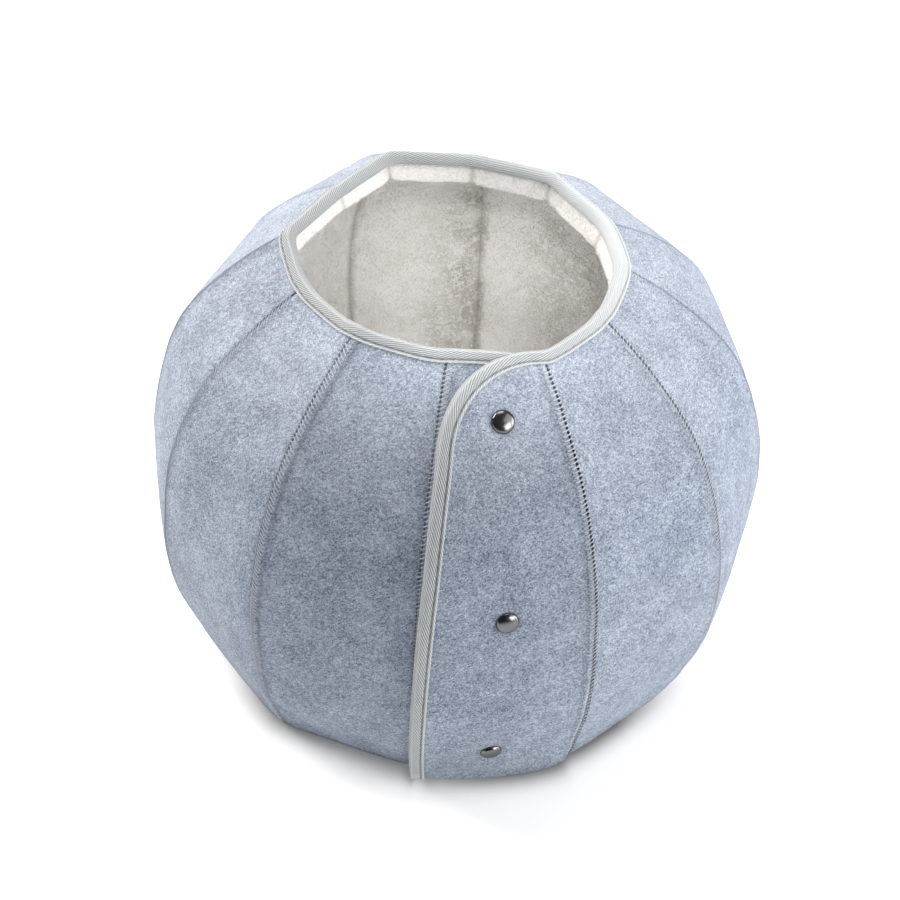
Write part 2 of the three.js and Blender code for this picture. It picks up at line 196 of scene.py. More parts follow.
def section(s):
    """Radius, height and outward normal of the wall s up from the floor, carried on straight
    past the rim."""
    past = np.maximum(s - LENGTH, 0)
    slope_r, slope_z = (np.interp(s, ALONG, SLOPE[:, i]) for i in (0, 1))
    r = np.interp(s, ALONG, CURVE[:, 0]) + past * slope_r
    z = np.interp(s, ALONG, CURVE[:, 1]) + past * slope_z
    size = np.hypot(slope_r, slope_z)
    return r, z, slope_z / size, -slope_r / size


def seam(k, s, depth, hang=0.0):
    """A point on seam k, s up the wall and depth in from its face: the ball's section turned
    about Z, with the rim's own radius and height at this seam taken on by the cube of the
    height, and the last seam drawn in by the square of the distance below FOOT_HEIGHT. A hang of
    1 gives the lining's seam, turned and stood off from its own place."""
    turn, rim_radius, rim_height = SEAMS[k % COUNT]
    hang = hang * TURNED_SHARE[k % COUNT]
    turn = np.radians(turn + TURNED * hang)
    r, z, out_r, out_z = section(s)
    depth = depth + STAND_OFF * np.abs(hang)
    up = z / RIM_HEIGHT
    radius = r + (rim_radius - RIM_RADIUS) * up**3 - depth * out_r
    if k % COUNT == LAST:
        radius = radius - LAST_FOOT * np.clip(1 - z / FOOT_HEIGHT, 0, 1) ** 2
    height = z + (rim_height - RIM_HEIGHT) * up**3 - depth * out_z
    x = radius * np.cos(turn) + LEAN * up**2
    y = radius * np.sin(turn)
    return np.stack([x, y, np.maximum(height, 0)], -1)


def lerp(a, b, share):
    """The blend from a to b by a share."""
    return a + (b - a) * share


def smooth_step(x, low, high):
    """0 up to low and 1 from high, and three times the square of the share less twice its cube
    between."""
    t = np.clip((x - low) / (high - low), 0, 1)
    return t * t * (3 - 2 * t)


def bell(x, middle, wide):
    """A bump of height 1: e to the minus square of the distance from its middle, counted in
    widths."""
    return np.exp(-(((x - middle) / wide) ** 2))


def unit(vectors):
    """Vectors brought to length 1."""
    return vectors / np.linalg.norm(vectors, axis=-1, keepdims=True)


def wall(k, q, s, depth, hang=0.0):
    """A point of panel k: q across from its seam 0 to its seam 1, straight between the two
    seams."""
    q, s, depth, hang = np.broadcast_arrays(q, s, depth, hang)
    return lerp(seam(k, s, depth, hang), seam(k + 1, s, depth, hang), q[..., None])


def width(k, s):
    """Panel k's width: the straight way between its seams, s up the wall."""
    return np.linalg.norm(seam(k, s, 0) - seam(k + 1, s, 0), axis=-1)


def lattice_noise(points, size, seed):
    """Smooth noise from -1 to 1: random numbers on a cubic lattice of the given size, blended
    between the eight about each point with smoothstep weights."""
    values = np.random.default_rng(seed).uniform(-1, 1, (32, 32, 32))
    cell = np.floor(points / size).astype(int)
    share = points / size - cell
    share = share * share * (3 - 2 * share)
    total = 0
    for corner in np.ndindex(2, 2, 2):
        weight = np.prod(np.where(corner, share, 1 - share), axis=-1)
        i, j, k = np.moveaxis((cell + corner) % 32, -1, 0)
        total = total + weight * values[i, j, k]
    return total


def unevenness(face):
    """How far the sewn wall stands out of true at a point of its face, the same for every layer:
    noise 46 mm wide, and fainter noise 17 mm wide."""
    return UNEVEN * (lattice_noise(face, 46, 3) + 0.35 * lattice_noise(face, 17, 4))


def crown(q):
    """0 on the seams, 1 in the middle of a gore, flat over most of it."""
    return 1 - (2 * np.clip(q, 0, 1) - 1) ** 4


def gore(k, lining=False):
    """The surface of gore k, or of its lining, which hangs turned below the rim's roll."""

    def point(q, s, depth):
        up = np.clip(s / LENGTH, 0, 1)
        sagged = s - RIM_SAG * up * crown(q)
        out = CROWN_FLOOR * (1 - up) ** 3 + CROWN_WAIST * np.sin(np.pi * up)
        hang = lining * smooth_step(LENGTH - s, *HANGS_BELOW) * smooth_step(s, 0, HANGS_ABOVE)
        return wall(k, q, sagged, depth - out * crown(q) - unevenness(wall(k, q, sagged, 0)), hang)

    return point


def bulge(q, s):
    """How far the double panel swells between its seams, most at the floor."""
    amount = lerp(FLAP_BULGE_RIM, FLAP_BULGE_FLOOR, np.clip(1 - s / LENGTH, 0, 1) ** 2)
    return amount * 4 * np.clip(q * (1 - q), 0, 1)


def flare(q, s):
    """How the flap's foot stands out beside its own seam: more and more across the panel, then
    in to the seam within its last few millimetres, and less by the square of the height."""
    q = np.clip(q, 0, 1)
    return FLAP_FLARE * np.clip(1 - s / FLARE_HEIGHT, 0, 1) ** 2 * q * (1 - q**20)


def flap(q, s, depth):
    """The upper leaf's surface: the panel stood out by its bulge, by its flare, and by STEP
    times what is left of the way across."""
    out = STEP * (1 - q) + bulge(q, s) + flare(q, s) + unevenness(wall(LAST, q, s, 0))
    return wall(LAST, q, s, depth - out)


def underlap(q, s, depth):
    """The lower leaf's surface: the panel stood out by its bulge and set in by STEP times the
    share across."""
    out = bulge(q, s) - STEP * q + unevenness(wall(LAST, q, s, 0))
    return wall(LAST, q, s, depth - out)


# ---- meshes


def grid_faces(numbers):
    """Quads over a grid of vertex numbers, facing the side from which columns run right and rows
    run up."""
    low, high = numbers[:-1], numbers[1:]
    return np.stack([low[:, :-1], low[:, 1:], high[:, 1:], high[:, :-1]], -1).reshape(-1, 4)


def shell(outer, inner):
    """Points and quads of a closed sheet between two grids of points, its four edges joined
    across."""
    rows, columns = outer.shape[:2]
    front = np.arange(rows * columns).reshape(rows, columns)
    back = front + rows * columns
    faces = [
        grid_faces(front),
        grid_faces(back[:, ::-1]),
        grid_faces(np.stack([back[0], front[0]])),
        grid_faces(np.stack([front[-1], back[-1]])),
        grid_faces(np.stack([back[:, 0], front[:, 0]], 1)),
        grid_faces(np.stack([front[:, -1], back[:, -1]], 1)),
    ]
    return np.concatenate([outer.reshape(-1, 3), inner.reshape(-1, 3)]), np.concatenate(faces)


def ring_faces(rings, sides):
    """Quads round a tube of rings of vertex numbers, rings running along the tube."""
    numbers = np.arange(rings * sides).reshape(rings, sides)
    return grid_faces(np.concatenate([numbers, numbers[:, :1]], 1))


def make(name, points, faces, material, nodes=(), uv=None, values=None):
    """A finished piece from points in millimetres: its mesh, which is turned outwards if the
    volume that its faces enclose comes out negative, its finish and body, and the nodes it
    stands for."""
    points, faces = np.asarray(points, float), np.asarray(faces)
    corners = points[faces]
    fan = [corners[:, (0, i, i + 1)] for i in range(1, faces.shape[1] - 1)]
    volume = sum(np.einsum("ij,ij->", t[:, 0], np.cross(t[:, 1], t[:, 2])) for t in fan)
    if volume < 0:
        faces = faces[:, ::-1]
    mesh = bpy.data.meshes.new(name)
    mesh.from_pydata((points * MM).tolist(), [], faces.tolist())
    mesh.shade_smooth()
    if uv is not None:
        layer = mesh.uv_layers.new(name="cloth")
        layer.data.foreach_set("uv", uv[faces].reshape(-1, 2).astype(np.float32).ravel())
    for key, numbers in (values or {}).items():
        attribute = mesh.attributes.new(key, "FLOAT", "POINT")
        attribute.data.foreach_set("value", np.asarray(numbers, np.float32).ravel())
    mesh.materials.append(material)
    piece = bpy.data.objects.new(name, mesh)
    bpy.context.scene.collection.objects.link(piece)
    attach(piece, "root")
    if nodes:
        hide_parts(*nodes)
    return piece


def sewn_sheet(piece, area=None):
    """Works out a sheet's area in square metres, that given or half its closed surface, and keeps
    nothing of it."""
    area = area or sum(p.area for p in piece.data.polygons) / 2


def across(widths, near, middle):
    """Distances across rows of the given widths: those in near from either edge and even steps
    between."""
    near = np.asarray(near, float)
    share = np.linspace(0, 1, middle + 2)[1:-1]
    between = near[-1] + (widths[:, None] - 2 * near[-1]) * share
    left = np.broadcast_to(near, (len(widths), len(near)))
    return np.concatenate([left, between, widths[:, None] - left[:, ::-1]], 1)


def rounded(distance, radius):
    """How far a rounded edge falls away at a distance in from it."""
    inside = np.clip(1 - distance / radius, 0, 1)
    return radius * (1 - np.sqrt(1 - inside**2))


# ---- materials


class Finish:
    """A material and short ways to add its nodes. Constants go straight onto the shader's
    sockets."""

    def __init__(self, name, **sockets):
        self.material = bpy.data.materials.new(name)
        self.material.use_nodes = True
        self.tree = self.material.node_tree
        self.shader = self.tree.nodes["Principled BSDF"]
        for key, value in sockets.items():
            self.shader.inputs[key.replace("_", " ")].default_value = value

    def node(self, kind, inputs=None, **settings):
        node = self.tree.nodes.new(kind)
        for key, value in settings.items():
            setattr(node, key, value)
        for key, value in (inputs or {}).items():
            if isinstance(value, bpy.types.NodeSocket):
                self.tree.links.new(value, node.inputs[key])
            else:
                node.inputs[key].default_value = value
        return node

    def math(self, operation, a, b=0.0):
        return self.node("ShaderNodeMath", {0: a, 1: b}, operation=operation).outputs[0]

    def times(self, a, b):
        return self.math("MULTIPLY", a, b)

    def plus(self, a, b):
        return self.math("ADD", a, b)

    def minus(self, a, b):
        return self.math("SUBTRACT", a, b)

    def weighed(self, *parts):
        """The sum of values, each times its own weight."""
        total = self.times(*parts[0])
        for part in parts[1:]:
            total = self.plus(total, self.times(*part))
        return total

    def place(self):
        return self.node("ShaderNodeTexCoord").outputs["Object"]

    def stretched(self, place, turn, scale):
        """The place turned and then scaled, which draws a noise out into fibres that lie one
        way."""
        inputs = {"Vector": place, "Rotation": turn, "Scale": scale}
        return self.node("ShaderNodeMapping", inputs, vector_type="TEXTURE").outputs["Vector"]

    def noise(self, place, scale, detail=2.0, roughness=0.6, distortion=0.0):
        inputs = {"Vector": place, "Scale": scale, "Detail": detail}
        inputs |= {"Roughness": roughness, "Distortion": distortion}
        return self.node("ShaderNodeTexNoise", inputs).outputs["Fac"]

    def ramp(self, value, *stops):
        """Colours or greys at positions, blended between them."""
        node = self.node("ShaderNodeValToRGB", {"Fac": value})
        elements = node.color_ramp.elements
        while len(elements) < len(stops):
            elements.new(0.5)
        for element, (position, colour) in zip(elements, stops):
            element.position = position
            element.color = (*colour, 1) if hasattr(colour, "__len__") else (colour,) * 3 + (1,)
        return node.outputs["Color"]

    def mix(self, share, a, b, blend="MIX"):
        node = self.node("ShaderNodeMix", data_type="RGBA", blend_type=blend)
        for socket, value in ((node.inputs[0], share), (node.inputs[6], a), (node.inputs[7], b)):
            if isinstance(value, bpy.types.NodeSocket):
                self.tree.links.new(value, socket)
            else:
                socket.default_value = (*value, 1) if hasattr(value, "__len__") else value
        return node.outputs[2]

    def span(self, value, low, high):
        """0 at low rising smoothly to 1 at high, and held beyond them."""
        inputs = {"Value": value, "From Min": low, "From Max": high}
        return self.node("ShaderNodeMapRange", inputs, interpolation_type="SMOOTHSTEP").outputs[0]

    def beat(self, value, pitch, low, high):
        """Pulses at every whole pitch of a length: its cosine, cut off between low and high."""
        turn = self.times(value, 2 * math.pi / pitch)
        return self.span(self.math("COSINE", turn), low, high)

    def uv_axes(self):
        """The tape's own two directions, in millimetres: along it and over its fold."""
        node = self.node("ShaderNodeUVMap", uv_map="cloth")
        axes = self.node("ShaderNodeSeparateXYZ", {"Vector": node.outputs["UV"]})
        return axes.outputs["X"], axes.outputs["Y"]

    def attribute(self, name):
        return self.node("ShaderNodeAttribute", attribute_name=name).outputs["Fac"]

    def bump(self, height, distance, strength):
        inputs = {"Height": height, "Distance": distance, "Strength": strength}
        return self.node("ShaderNodeBump", inputs).outputs["Normal"]

    def finish(self, colour=None, normal=None, **links):
        for key, value in {"Base_Color": colour, "Normal": normal, **links}.items():
            if value is not None:
                self.tree.links.new(value, self.shader.inputs[key.replace("_", " ")])
        return self.material


def melange_felt():
    """Pressed felt of pale, blue-grey and slate fibres: a fine grain of short crossing fibres,
    slate flecks, blots and very soft clouds, with painted light that makes it paler and greyer
    towards the rim. Along each join the gap and the stitches' holes in it are painted dark as
    shade, as are small needle holes on one side where the threads go in and the far edge of the
    stitches' band."""
    soft = {"Specular_IOR_Level": 0.15, "Sheen_Weight": 0.12, "Sheen_Roughness": 0.7}
    f = Finish("melange_felt", Roughness=0.95, **soft)
    place = f.place()
    lying = f.stretched(place, (0.4, 0.9, 0.2), (1, 1, 2.4))
    crossing = f.stretched(place, (-0.7, 0.3, 1.1), (2.4, 1, 1))
    first = f.noise(lying, 800, 3, 0.78, 0.4)
    second = f.noise(crossing, 860, 3, 0.78, 0.4)
    grain = f.times(f.plus(first, second), 0.5)
    flecks = f.noise(place, 1350, 1, 0.5)
    blots = f.noise(place, 210, 2, 0.5)
    clouds = f.noise(place, 40, 3, 0.55)
    colour = f.ramp(
        f.weighed((grain, 0.62), (flecks, 0.21), (blots, 0.075), (clouds, 0.095)),
        (0.40, (0.048, 0.068, 0.104)),
        (0.45, (0.124, 0.154, 0.208)),
        (0.50, (0.230, 0.269, 0.340)),
        (0.55, (0.350, 0.399, 0.483)),
        (0.61, (0.49, 0.54, 0.62)),
    )
    # Painted light: the felt is made paler and greyer towards the rim
    height = f.node("ShaderNodeSeparateXYZ", {"Vector": place}).outputs["Z"]
    colour = f.mix(f.times(f.span(height, 0.2, 0.29), 0.09), colour, (0.78, 0.78, 0.81))
    # Painted shade: the join's gap, the stitch and needle holes and the band's far edge are
    # darkened
    join, band, strength = f.attribute("join"), f.attribute("band"), f.attribute("holes")
    holes = f.times(f.span(join, 1.15, 0.4), f.beat(f.attribute("up"), STITCH_PITCH, -0.2, 0.75))
    needle = f.span(f.math("ABSOLUTE", f.minus(band, BAND)), 0.75, 0.2)
    needle = f.times(needle, f.beat(f.attribute("band_up"), STITCH_PITCH, 0.1, 0.8))
    needle = f.times(needle, 0.6)
    line = f.times(f.span(join, 0.7, 0.1), f.plus(f.times(strength, 0.4), 0.12))
    sewn = f.times(f.math("MAXIMUM", holes, needle), strength)
    dark = f.math("MAXIMUM", sewn, f.math("MAXIMUM", line, f.attribute("edge")))
    colour = f.mix(dark, colour, (0.022, 0.027, 0.03))
    relief = f.minus(f.plus(grain, f.times(flecks, 0.3)), dark)
    return f.finish(colour, f.bump(relief, 0.0005, 0.6))


def grey_plush():
    """Short dense pile: fine tufts and brushed patches, with a painted sheen where the pile lies
    high and slightly darker hollows as painted shade, and painted shade along the lining's seams.
    Where it is crushed the tufts part into brownish mottling."""
    soft = {"Specular_IOR_Level": 0.1, "Sheen_Weight": 0.3, "Sheen_Roughness": 0.5}
    f = Finish("grey_plush", Roughness=1.0, **soft)
    place = f.place()
    tufts = f.noise(place, 620, 3, 0.75, 0.6)
    brushed = f.noise(f.stretched(place, (0.2, 0.1, 0.6), (1, 1, 1.8)), 85, 4, 0.62, 0.8)
    lay = f.noise(place, 13, 2, 0.5)
    # Painted sheen and shade: the pile paler where it lies high and darker in its hollows
    tone = f.weighed((tufts, 0.6), (brushed, 0.28), (lay, 0.12))
    shades = (0.71, 0.675, 0.63), (0.88, 0.86, 0.838), (0.955, 0.945, 0.935)
    colour = f.ramp(tone, *zip((0.38, 0.5, 0.62), shades))
    mottle = f.span(f.noise(place, 190, 3, 0.7, 1.4), 0.54, 0.46)
    crushed = f.times(f.attribute("crush"), f.plus(f.times(mottle, 0.75), 0.06))
    colour = f.mix(crushed, colour, (0.43, 0.39, 0.325))
    # Painted shade along the lining's seams
    colour = f.mix(f.attribute("seam"), colour, (0.40, 0.36, 0.31))
    relief = f.minus(f.plus(tufts, f.times(brushed, 0.8)), crushed)
    return f.finish(colour, f.bump(relief, 0.0016, 0.85))


def twill_tape():
    """Pale grey twill: round yarns that run slantwise over the tape, with painted shade between
    them and in the stitched groove and a painted highlight along the fold and the selvedge, flat at
    the tape's cut end, and painted paler and flatter near the rim on its lit right side as painted
    light."""
    f = Finish("twill_tape", Roughness=0.8, Specular_IOR_Level=0.3, Sheen_Weight=0.2)
    along, over = f.uv_axes()
    slant = f.minus(f.times(over, 0.93), f.times(along, 0.366))
    wobble = f.noise(f.place(), 450, 1)
    phase = f.weighed((slant, 2 * math.pi / RIB_PITCH), (wobble, 1.8))
    rib = f.times(f.plus(f.math("SINE", phase), 1.0), 0.5)
    # The twill is flattened by the painted light on the tape's lit side as well as at its cut end
    woven = f.times(f.span(along, 10, 17), f.attribute("woven"))
    rib = f.plus(f.times(f.minus(rib, 0.6), woven), 0.6)
    grain = f.noise(f.place(), 1500, 1)
    tone = f.weighed((rib, 0.85), (grain, 0.15))
    # Painted shade: darker where the yarns dip between each other
    shades = (0.19, 0.207, 0.212), (0.37, 0.39, 0.395), (0.48, 0.505, 0.515)
    colour = f.ramp(tone, *zip((0.1, 0.42, 0.8), shades))
    # Painted highlight along the fold and the selvedge, and painted light on the lit right side
    colour = f.mix(f.attribute("pale"), colour, (0.64, 0.665, 0.68))
    # Painted shade in the stitched groove, darker at each stitch
    colour = f.mix(f.attribute("groove"), colour, (0.09, 0.10, 0.10))
    relief = f.plus(rib, f.times(grain, 0.3))
    return f.finish(colour, f.bump(relief, 0.0005, 0.9))


def thread():
    """Pale polyester sewing thread with its two-ply twist, on some seams lost among the felt's
    fibres."""
    f = Finish("sewing_thread", Roughness=0.6, Specular_IOR_Level=0.35)
    grain = f.noise(f.place(), 2400, 1)
    colour = f.ramp(grain, (0.35, (0.38, 0.41, 0.46)), (0.6, (0.57, 0.605, 0.665)))
    colour = f.mix(f.attribute("lost"), colour, (0.30, 0.35, 0.43))
    return f.finish(colour, f.bump(grain, 0.0002, 0.6))


def dark_nickel():
    """Polished dark nickel with faint handling marks."""
    grey, edges = (0.15, 0.15, 0.155, 1), (0.5, 0.5, 0.5, 1)
    f = Finish("dark_nickel", Metallic=0.9, Roughness=0.2, Base_Color=grey, Specular_Tint=edges)
    marks = f.noise(f.place(), 260, 3)
    inputs = {"Value": marks, "To Min": 0.15, "To Max": 0.27}
    return f.finish(Roughness=f.node("ShaderNodeMapRange", inputs).outputs[0])


FELT_FINISH = melange_felt()
PLUSH_FINISH = grey_plush()
TAPE_FINISH = twill_tape()
THREAD_FINISH = thread()
METAL_FINISH = dark_nickel()

# ---- felt and lining

# Heights of the grids' rows up the wall, closer together in the lining's roll, and their columns'
# distances from a seam, after which the rest are spread evenly
ROWS = np.concatenate([[0, 0.5], np.arange(3.5, LENGTH - 2, 3.5), [LENGTH - 1, LENGTH]])
ROLL_ROWS = np.arange(LENGTH - 33, LENGTH, 1.5)
PLUSH_ROWS = np.concatenate([[4, 5], np.arange(8, LENGTH - 34, 2.6), ROLL_ROWS, [LENGTH]])
FELT_NEAR = [0, 0.2, 0.5, 0.9, 1.5, 2.4, 3.4, 4.6, 6.2, 8]
PLUSH_NEAR = [0, 0.6, 1.4, 2.4, 3.6, 5, 6.6, 8.4]
FELT_MIDDLE, PLUSH_MIDDLE, FLAP_MIDDLE = 18, 26, 20
FLAP_ROW, FLAP_INSET = 3.0, 0.4
SEAM_INSET = 0.14
EDGE_ROUND = 0.9
PULL, PULL_WIDE = 0.4, 1.8
RIDGE, RIDGE_AT, RIDGE_WIDE = 0.45, 3.0, 1.5
FAR = 50.0  # a distance at which no seam is felt

# How far below the rim the lining's roll ends, the share of the pinch at its seams that is left in
# the roll, and where that changes; then the painted shade in the lining's seams, and its width
ROLL_ENDS = (18, 36)
ROLL_PINCH, PINCH_CHANGE = 0.3, (14, 40)
SEAM_SHADE, SEAM_SHADE_WIDE = 0.55, 3.6

# How crushed the pile is: everywhere, along the seams, and over the panels right of seam CRUSHED,
# with where that begins and is full. Then the width of the crushed strips left and right of seam
# CRUSHED near the floor, the most it is at the rim, and the width at other seams.
CRUSH_ALL, CRUSH_SEAMS, CRUSH_PANELS, CRUSH_FROM = 0.05, 0.3, 0.4, (25, 60)
CRUSH_LEFT, CRUSH_RIGHT, CRUSH_RIM, CRUSH_ELSE = 46, 6, 12, 4

# Tufts of pile on a gore and on the pad, the least and most of their thickness and height, how they
# stray and how deep they root, and how far they keep off the floor and the tape
PILE, PAD_PILE = 11000, 22000
TUFT_THICK, TUFT_TALL, TUFT_STRAY, TUFT_ROOT = (0.28, 0.5), (0.9, 1.9), 0.45, 0.5
PILE_FROM, PILE_OFF_TAPE = 8, 1.5


def band_side(k):
    """Which side of seam k its stitches lie on: towards the flap, so left of the first seams and
    right of the last ones."""
    return -1 if k % COUNT <= BACK_SEAM else 1


def felt_depth(distance, banded):
    """How far the felt's face falls away towards a sewn edge: the cut edge's rounding, the
    stitches' pull, and the soft ridge that the threads raise on their own side."""
    pull, ridge = PULL * bell(distance, 0, PULL_WIDE), RIDGE * bell(distance, RIDGE_AT, RIDGE_WIDE)
    return rounded(distance, EDGE_ROUND) + pull - np.where(banded, ridge, 0)


# Heights up the wall, and the same counted in even stitches on the seam that hangs the flap
HEIGHTS = np.linspace(0, LENGTH, 400)
FEWER = 1 - LONGER_LOW * (1 - smooth_step(HEIGHTS, *LONGER_CHANGE))
EVEN = LENGTH - np.append(np.cumsum((FEWER[1:] * np.diff(HEIGHTS))[::-1])[::-1], 0)


def stitch_marks(join, band, side, s, near):
    """The attributes that draw the stitches: the distance from the join, that from the threads'
    join, the two heights up the wall counted from a hole, the holes' painted darkness, which
    changes just below the rim, and the painted shade along the band's far edge. Near is the number
    of the nearer seam."""
    up = np.where(near % COUNT == 0, np.interp(s, HEIGHTS, EVEN), s) - STITCH_FROM
    band_up = up - STITCH_PITCH / 2 - side * STITCH_SLOPE * BAND
    low, high, shade = np.moveaxis(SEWN[near % COUNT, :3], -1, 0)
    holes = lerp(low, high, smooth_step(s, *(LENGTH - below for below in HOLES_CHANGE)))
    # Painted shade along the far edge of the stitches' band
    edge = shade * bell(band - BAND, BAND_SHADE, BAND_SHADE)
    outer = {"join": join, "band": band, "up": up, "band_up": band_up, "holes": holes, "edge": edge}
    return {key: np.append(value, np.full(value.size, FAR)) for key, value in outer.items()}


def felt_leaf(name, node, point, q, s, depth, inner, marks, widths):
    """A closed sheet of felt over places on a surface, from its face in to its back."""
    points, faces = shell(point(q, s, depth), point(q, s, inner))
    piece = make(name, points, faces, FELT_FINISH, [node], values=marks)
    sewn_sheet(piece)


def felt_gore(k):
    """Gore k's felt: a closed sheet FELT thick from seam to seam, its face falling away at both."""
    widths = width(k, ROWS)
    d = across(widths - 2 * SEAM_INSET, FELT_NEAR, FELT_MIDDLE)
    q = (SEAM_INSET + d) / widths[:, None]
    from_right = d[:, ::-1]
    join = np.minimum(d, from_right)
    left, right = band_side(k) > 0, band_side(k + 1) < 0
    band = d if left else from_right if right else np.full(d.shape, FAR)
    s = np.broadcast_to(ROWS[:, None], q.shape)
    banded = (left & (d < from_right)) | (right & (d > from_right))
    aside = HOLES_ASIDE * (1 - smooth_step(s, *ASIDE_CHANGE)) * (d < from_right) if k == 0 else 0
    near = np.where(d < from_right, k, k + 1)
    marks = stitch_marks(np.abs(join - aside), band, 1 if left else -1, s, near)
    name, node, depth = f"felt_wall_{k + 1}", f"felt_gore_{k + 1}", felt_depth(join, banded)
    felt_leaf(name, node, gore(k), q, s, depth, FELT, marks, widths)


def fuller_at(k, q):
    """How much fuller the lining's roll is at a place across gore k."""
    return lerp(FULLER[k], FULLER[(k + 1) % COUNT], q)


def plush_thickness(from_rim, edge, fuller=0.0):
    """The lining's thickness: crushed under the tape, a full roll just below it, plump over the
    gore and drawn in along the seams."""
    body = lerp(PLUSH_ROLL + ROLL_MORE * fuller, PLUSH, smooth_step(from_rim, *ROLL_ENDS))
    rise = from_rim + ROLL_NEARER * fuller - TAPE_LEAF
    full = lerp(PLUSH_BOUND, body, smooth_step(rise, *PAST_TAPE))
    left = lerp(ROLL_PINCH, 1, smooth_step(from_rim, *PINCH_CHANGE))
    pinch = (1 - smooth_step(edge, 0, SEAM_PINCH)) * left
    return full - np.maximum(full - PLUSH_SEAM, 0) * pinch**1.6


def pile_relief(points):
    """The soft lumps of the pile, in millimetres: noise 9 mm wide, and fainter noise 4.2 mm
    wide."""
    return 0.5 * lattice_noise(points, 9, 5) + 0.28 * lattice_noise(points, 4.2, 6)


def lining_face(point, q, s, thick):
    """The pile's face: its thickness in from the wall, and its lumps where the tape leaves it
    free."""
    inner = point(q, s, FELT + GAP + thick)
    lumps = np.clip(thick - PLUSH_BOUND, 0, 1) * pile_relief(inner)
    return point(q, s, FELT + GAP + thick + lumps)


def tufts(name, here, normal, crush=0.0, lean=(0, 0, -0.3)):
    """Short tufts of pile: slim three-sided spikes that stand on the lining, each leaning its
    own way and all brushed a little downwards."""
    count = len(here)
    way = unit(normal + np.asarray(lean) + RNG.normal(0, TUFT_STRAY, (count, 3)))
    side = unit(np.cross(way, RNG.normal(0, 1, (count, 3))))
    turn = np.radians([0, 120, 240])[:, None]
    ring = side[:, None] * np.cos(turn) + np.cross(way, side)[:, None] * np.sin(turn)
    thick = RNG.uniform(*TUFT_THICK, (count, 1, 1))
    foot = here[:, None] - TUFT_ROOT * normal[:, None] + thick * ring
    tip = here + way * RNG.uniform(*TUFT_TALL, (count, 1))
    points = np.concatenate([foot, tip[:, None]], 1).reshape(-1, 3)
    one = np.array([(0, 2, 1), (0, 1, 3), (1, 2, 3), (2, 0, 3)])
    faces = (4 * np.arange(count)[:, None, None] + one).reshape(-1, 3)
    values = {"crush": np.repeat(crush + np.zeros(count), 4)}
    make(name, points, faces, PLUSH_FINISH, values=values)


def inward(face, q, s):
    """The direction square to a lining's face, into the bed: the cross product of its slopes up
    and across."""
    over = face(q + 0.004, s) - face(q - 0.004, s)
    up = face(q, s + 0.7) - face(q, s - 0.7)
    return unit(np.cross(up, over))


def wall_pile(k, point, thick, reach=np.ones_like):
    """Pile over panel k's lining, at random places spread evenly over its area."""
    nearer = ROLL_NEARER * fuller_at(k, 0.5)
    s = RNG.uniform(PILE_FROM, LENGTH - TAPE_LEAF - PILE_OFF_TAPE + nearer, 3 * PILE)
    s = s[RNG.uniform(0, 1, len(s)) < width(k, s) / width(k, ROWS).max()][:PILE]
    w = width(k, s)
    q = RNG.uniform(0.004, 0.996, len(s)) * reach(s)

    def face(q, s):
        return lining_face(point, q, s, thick(q, s))

    crush = 0 if k == LAST else crushing(k, q * w, w - q * w, s)
    tufts(f"pile_{k + 1}", face(q, s), inward(face, q, s), crush)


def lining(name, node, point, q, s, edge, thick, widths, crush=0.0):
    """A piece of lining from its place on the wall, its distance from the nearer seam and its
    thickness, with how far its pile is crushed."""
    points, faces = shell(point(q, s, FELT + GAP), lining_face(point, q, s, thick))
    # Painted shade in the lining's seams, where the pile is drawn in
    near = np.clip(1 - edge / SEAM_SHADE_WIDE, 0, 1)
    shade = SEAM_SHADE * near**1.3 * np.clip(thick - PLUSH_BOUND, 0, 1)
    back = np.zeros(edge.size)
    values = {"seam": np.append(back, shade), "crush": np.append(back, crush + 0 * edge)}
    piece = make(name, points, faces, PLUSH_FINISH, [node], values=values)
    sewn_sheet(piece)


def crushing(k, from_left, from_right, s):
    """How far the pile is crushed: in uneven patches to the left of seam CRUSHED as one looks
    in, broader towards the floor, over the panels some way to the right of it, and faintly along
    the other seams."""
    total = CRUSH_ALL
    if k in (CRUSHED - 1, CRUSHED - 2):
        total = CRUSH_PANELS * smooth_step(from_right + (CRUSHED - 1 - k) * FAR, *CRUSH_FROM)
    for number, distance, broad in ((k, from_left, CRUSH_LEFT), (k + 1, from_right, CRUSH_RIGHT)):
        here = number == CRUSHED
        reach = lerp(broad, min(broad, CRUSH_RIM), s / LENGTH) if here else CRUSH_ELSE
        total = total + (1.0 if here else CRUSH_SEAMS) * bell(distance, 0, reach)
    patches = lattice_noise(np.stack([from_left, from_right, s], -1), 24, 7 + k)
    return np.clip(total * (0.75 + 0.6 * patches), 0, 1) * smooth_step(LENGTH - s, 14, 44)


def plush_gore(k):
    """Gore k's lining: a closed sheet from the felt's back to the pile's face, and the pile on
    it."""
    widths = width(k, PLUSH_ROWS)
    d = across(widths, PLUSH_NEAR, PLUSH_MIDDLE)
    q = d / widths[:, None]
    edge = np.minimum(d, d[:, ::-1])
    s = np.broadcast_to(PLUSH_ROWS[:, None], q.shape)
    thick = plush_thickness(LENGTH - s, edge, fuller_at(k, q))
    crush = crushing(k, d, d[:, ::-1], s)
    name, node, point = f"plush_lining_{k + 1}", f"plush_gore_{k + 1}", gore(k, lining=True)
    lining(name, node, point, q, s, edge, thick, widths, crush)

    def thick_at(q, s):
        w = width(k, s)
        return plush_thickness(LENGTH - s, np.minimum(q * w, w - q * w), fuller_at(k, q))

    wall_pile(k, point, thick_at)


def underlap_edge(s, inset=0.0):
    """Where the underlap's hidden edge lies across the panel, or a line set in from it."""
    return 1 - (UNDERLAP_SHORT + inset) / width(LAST, s)


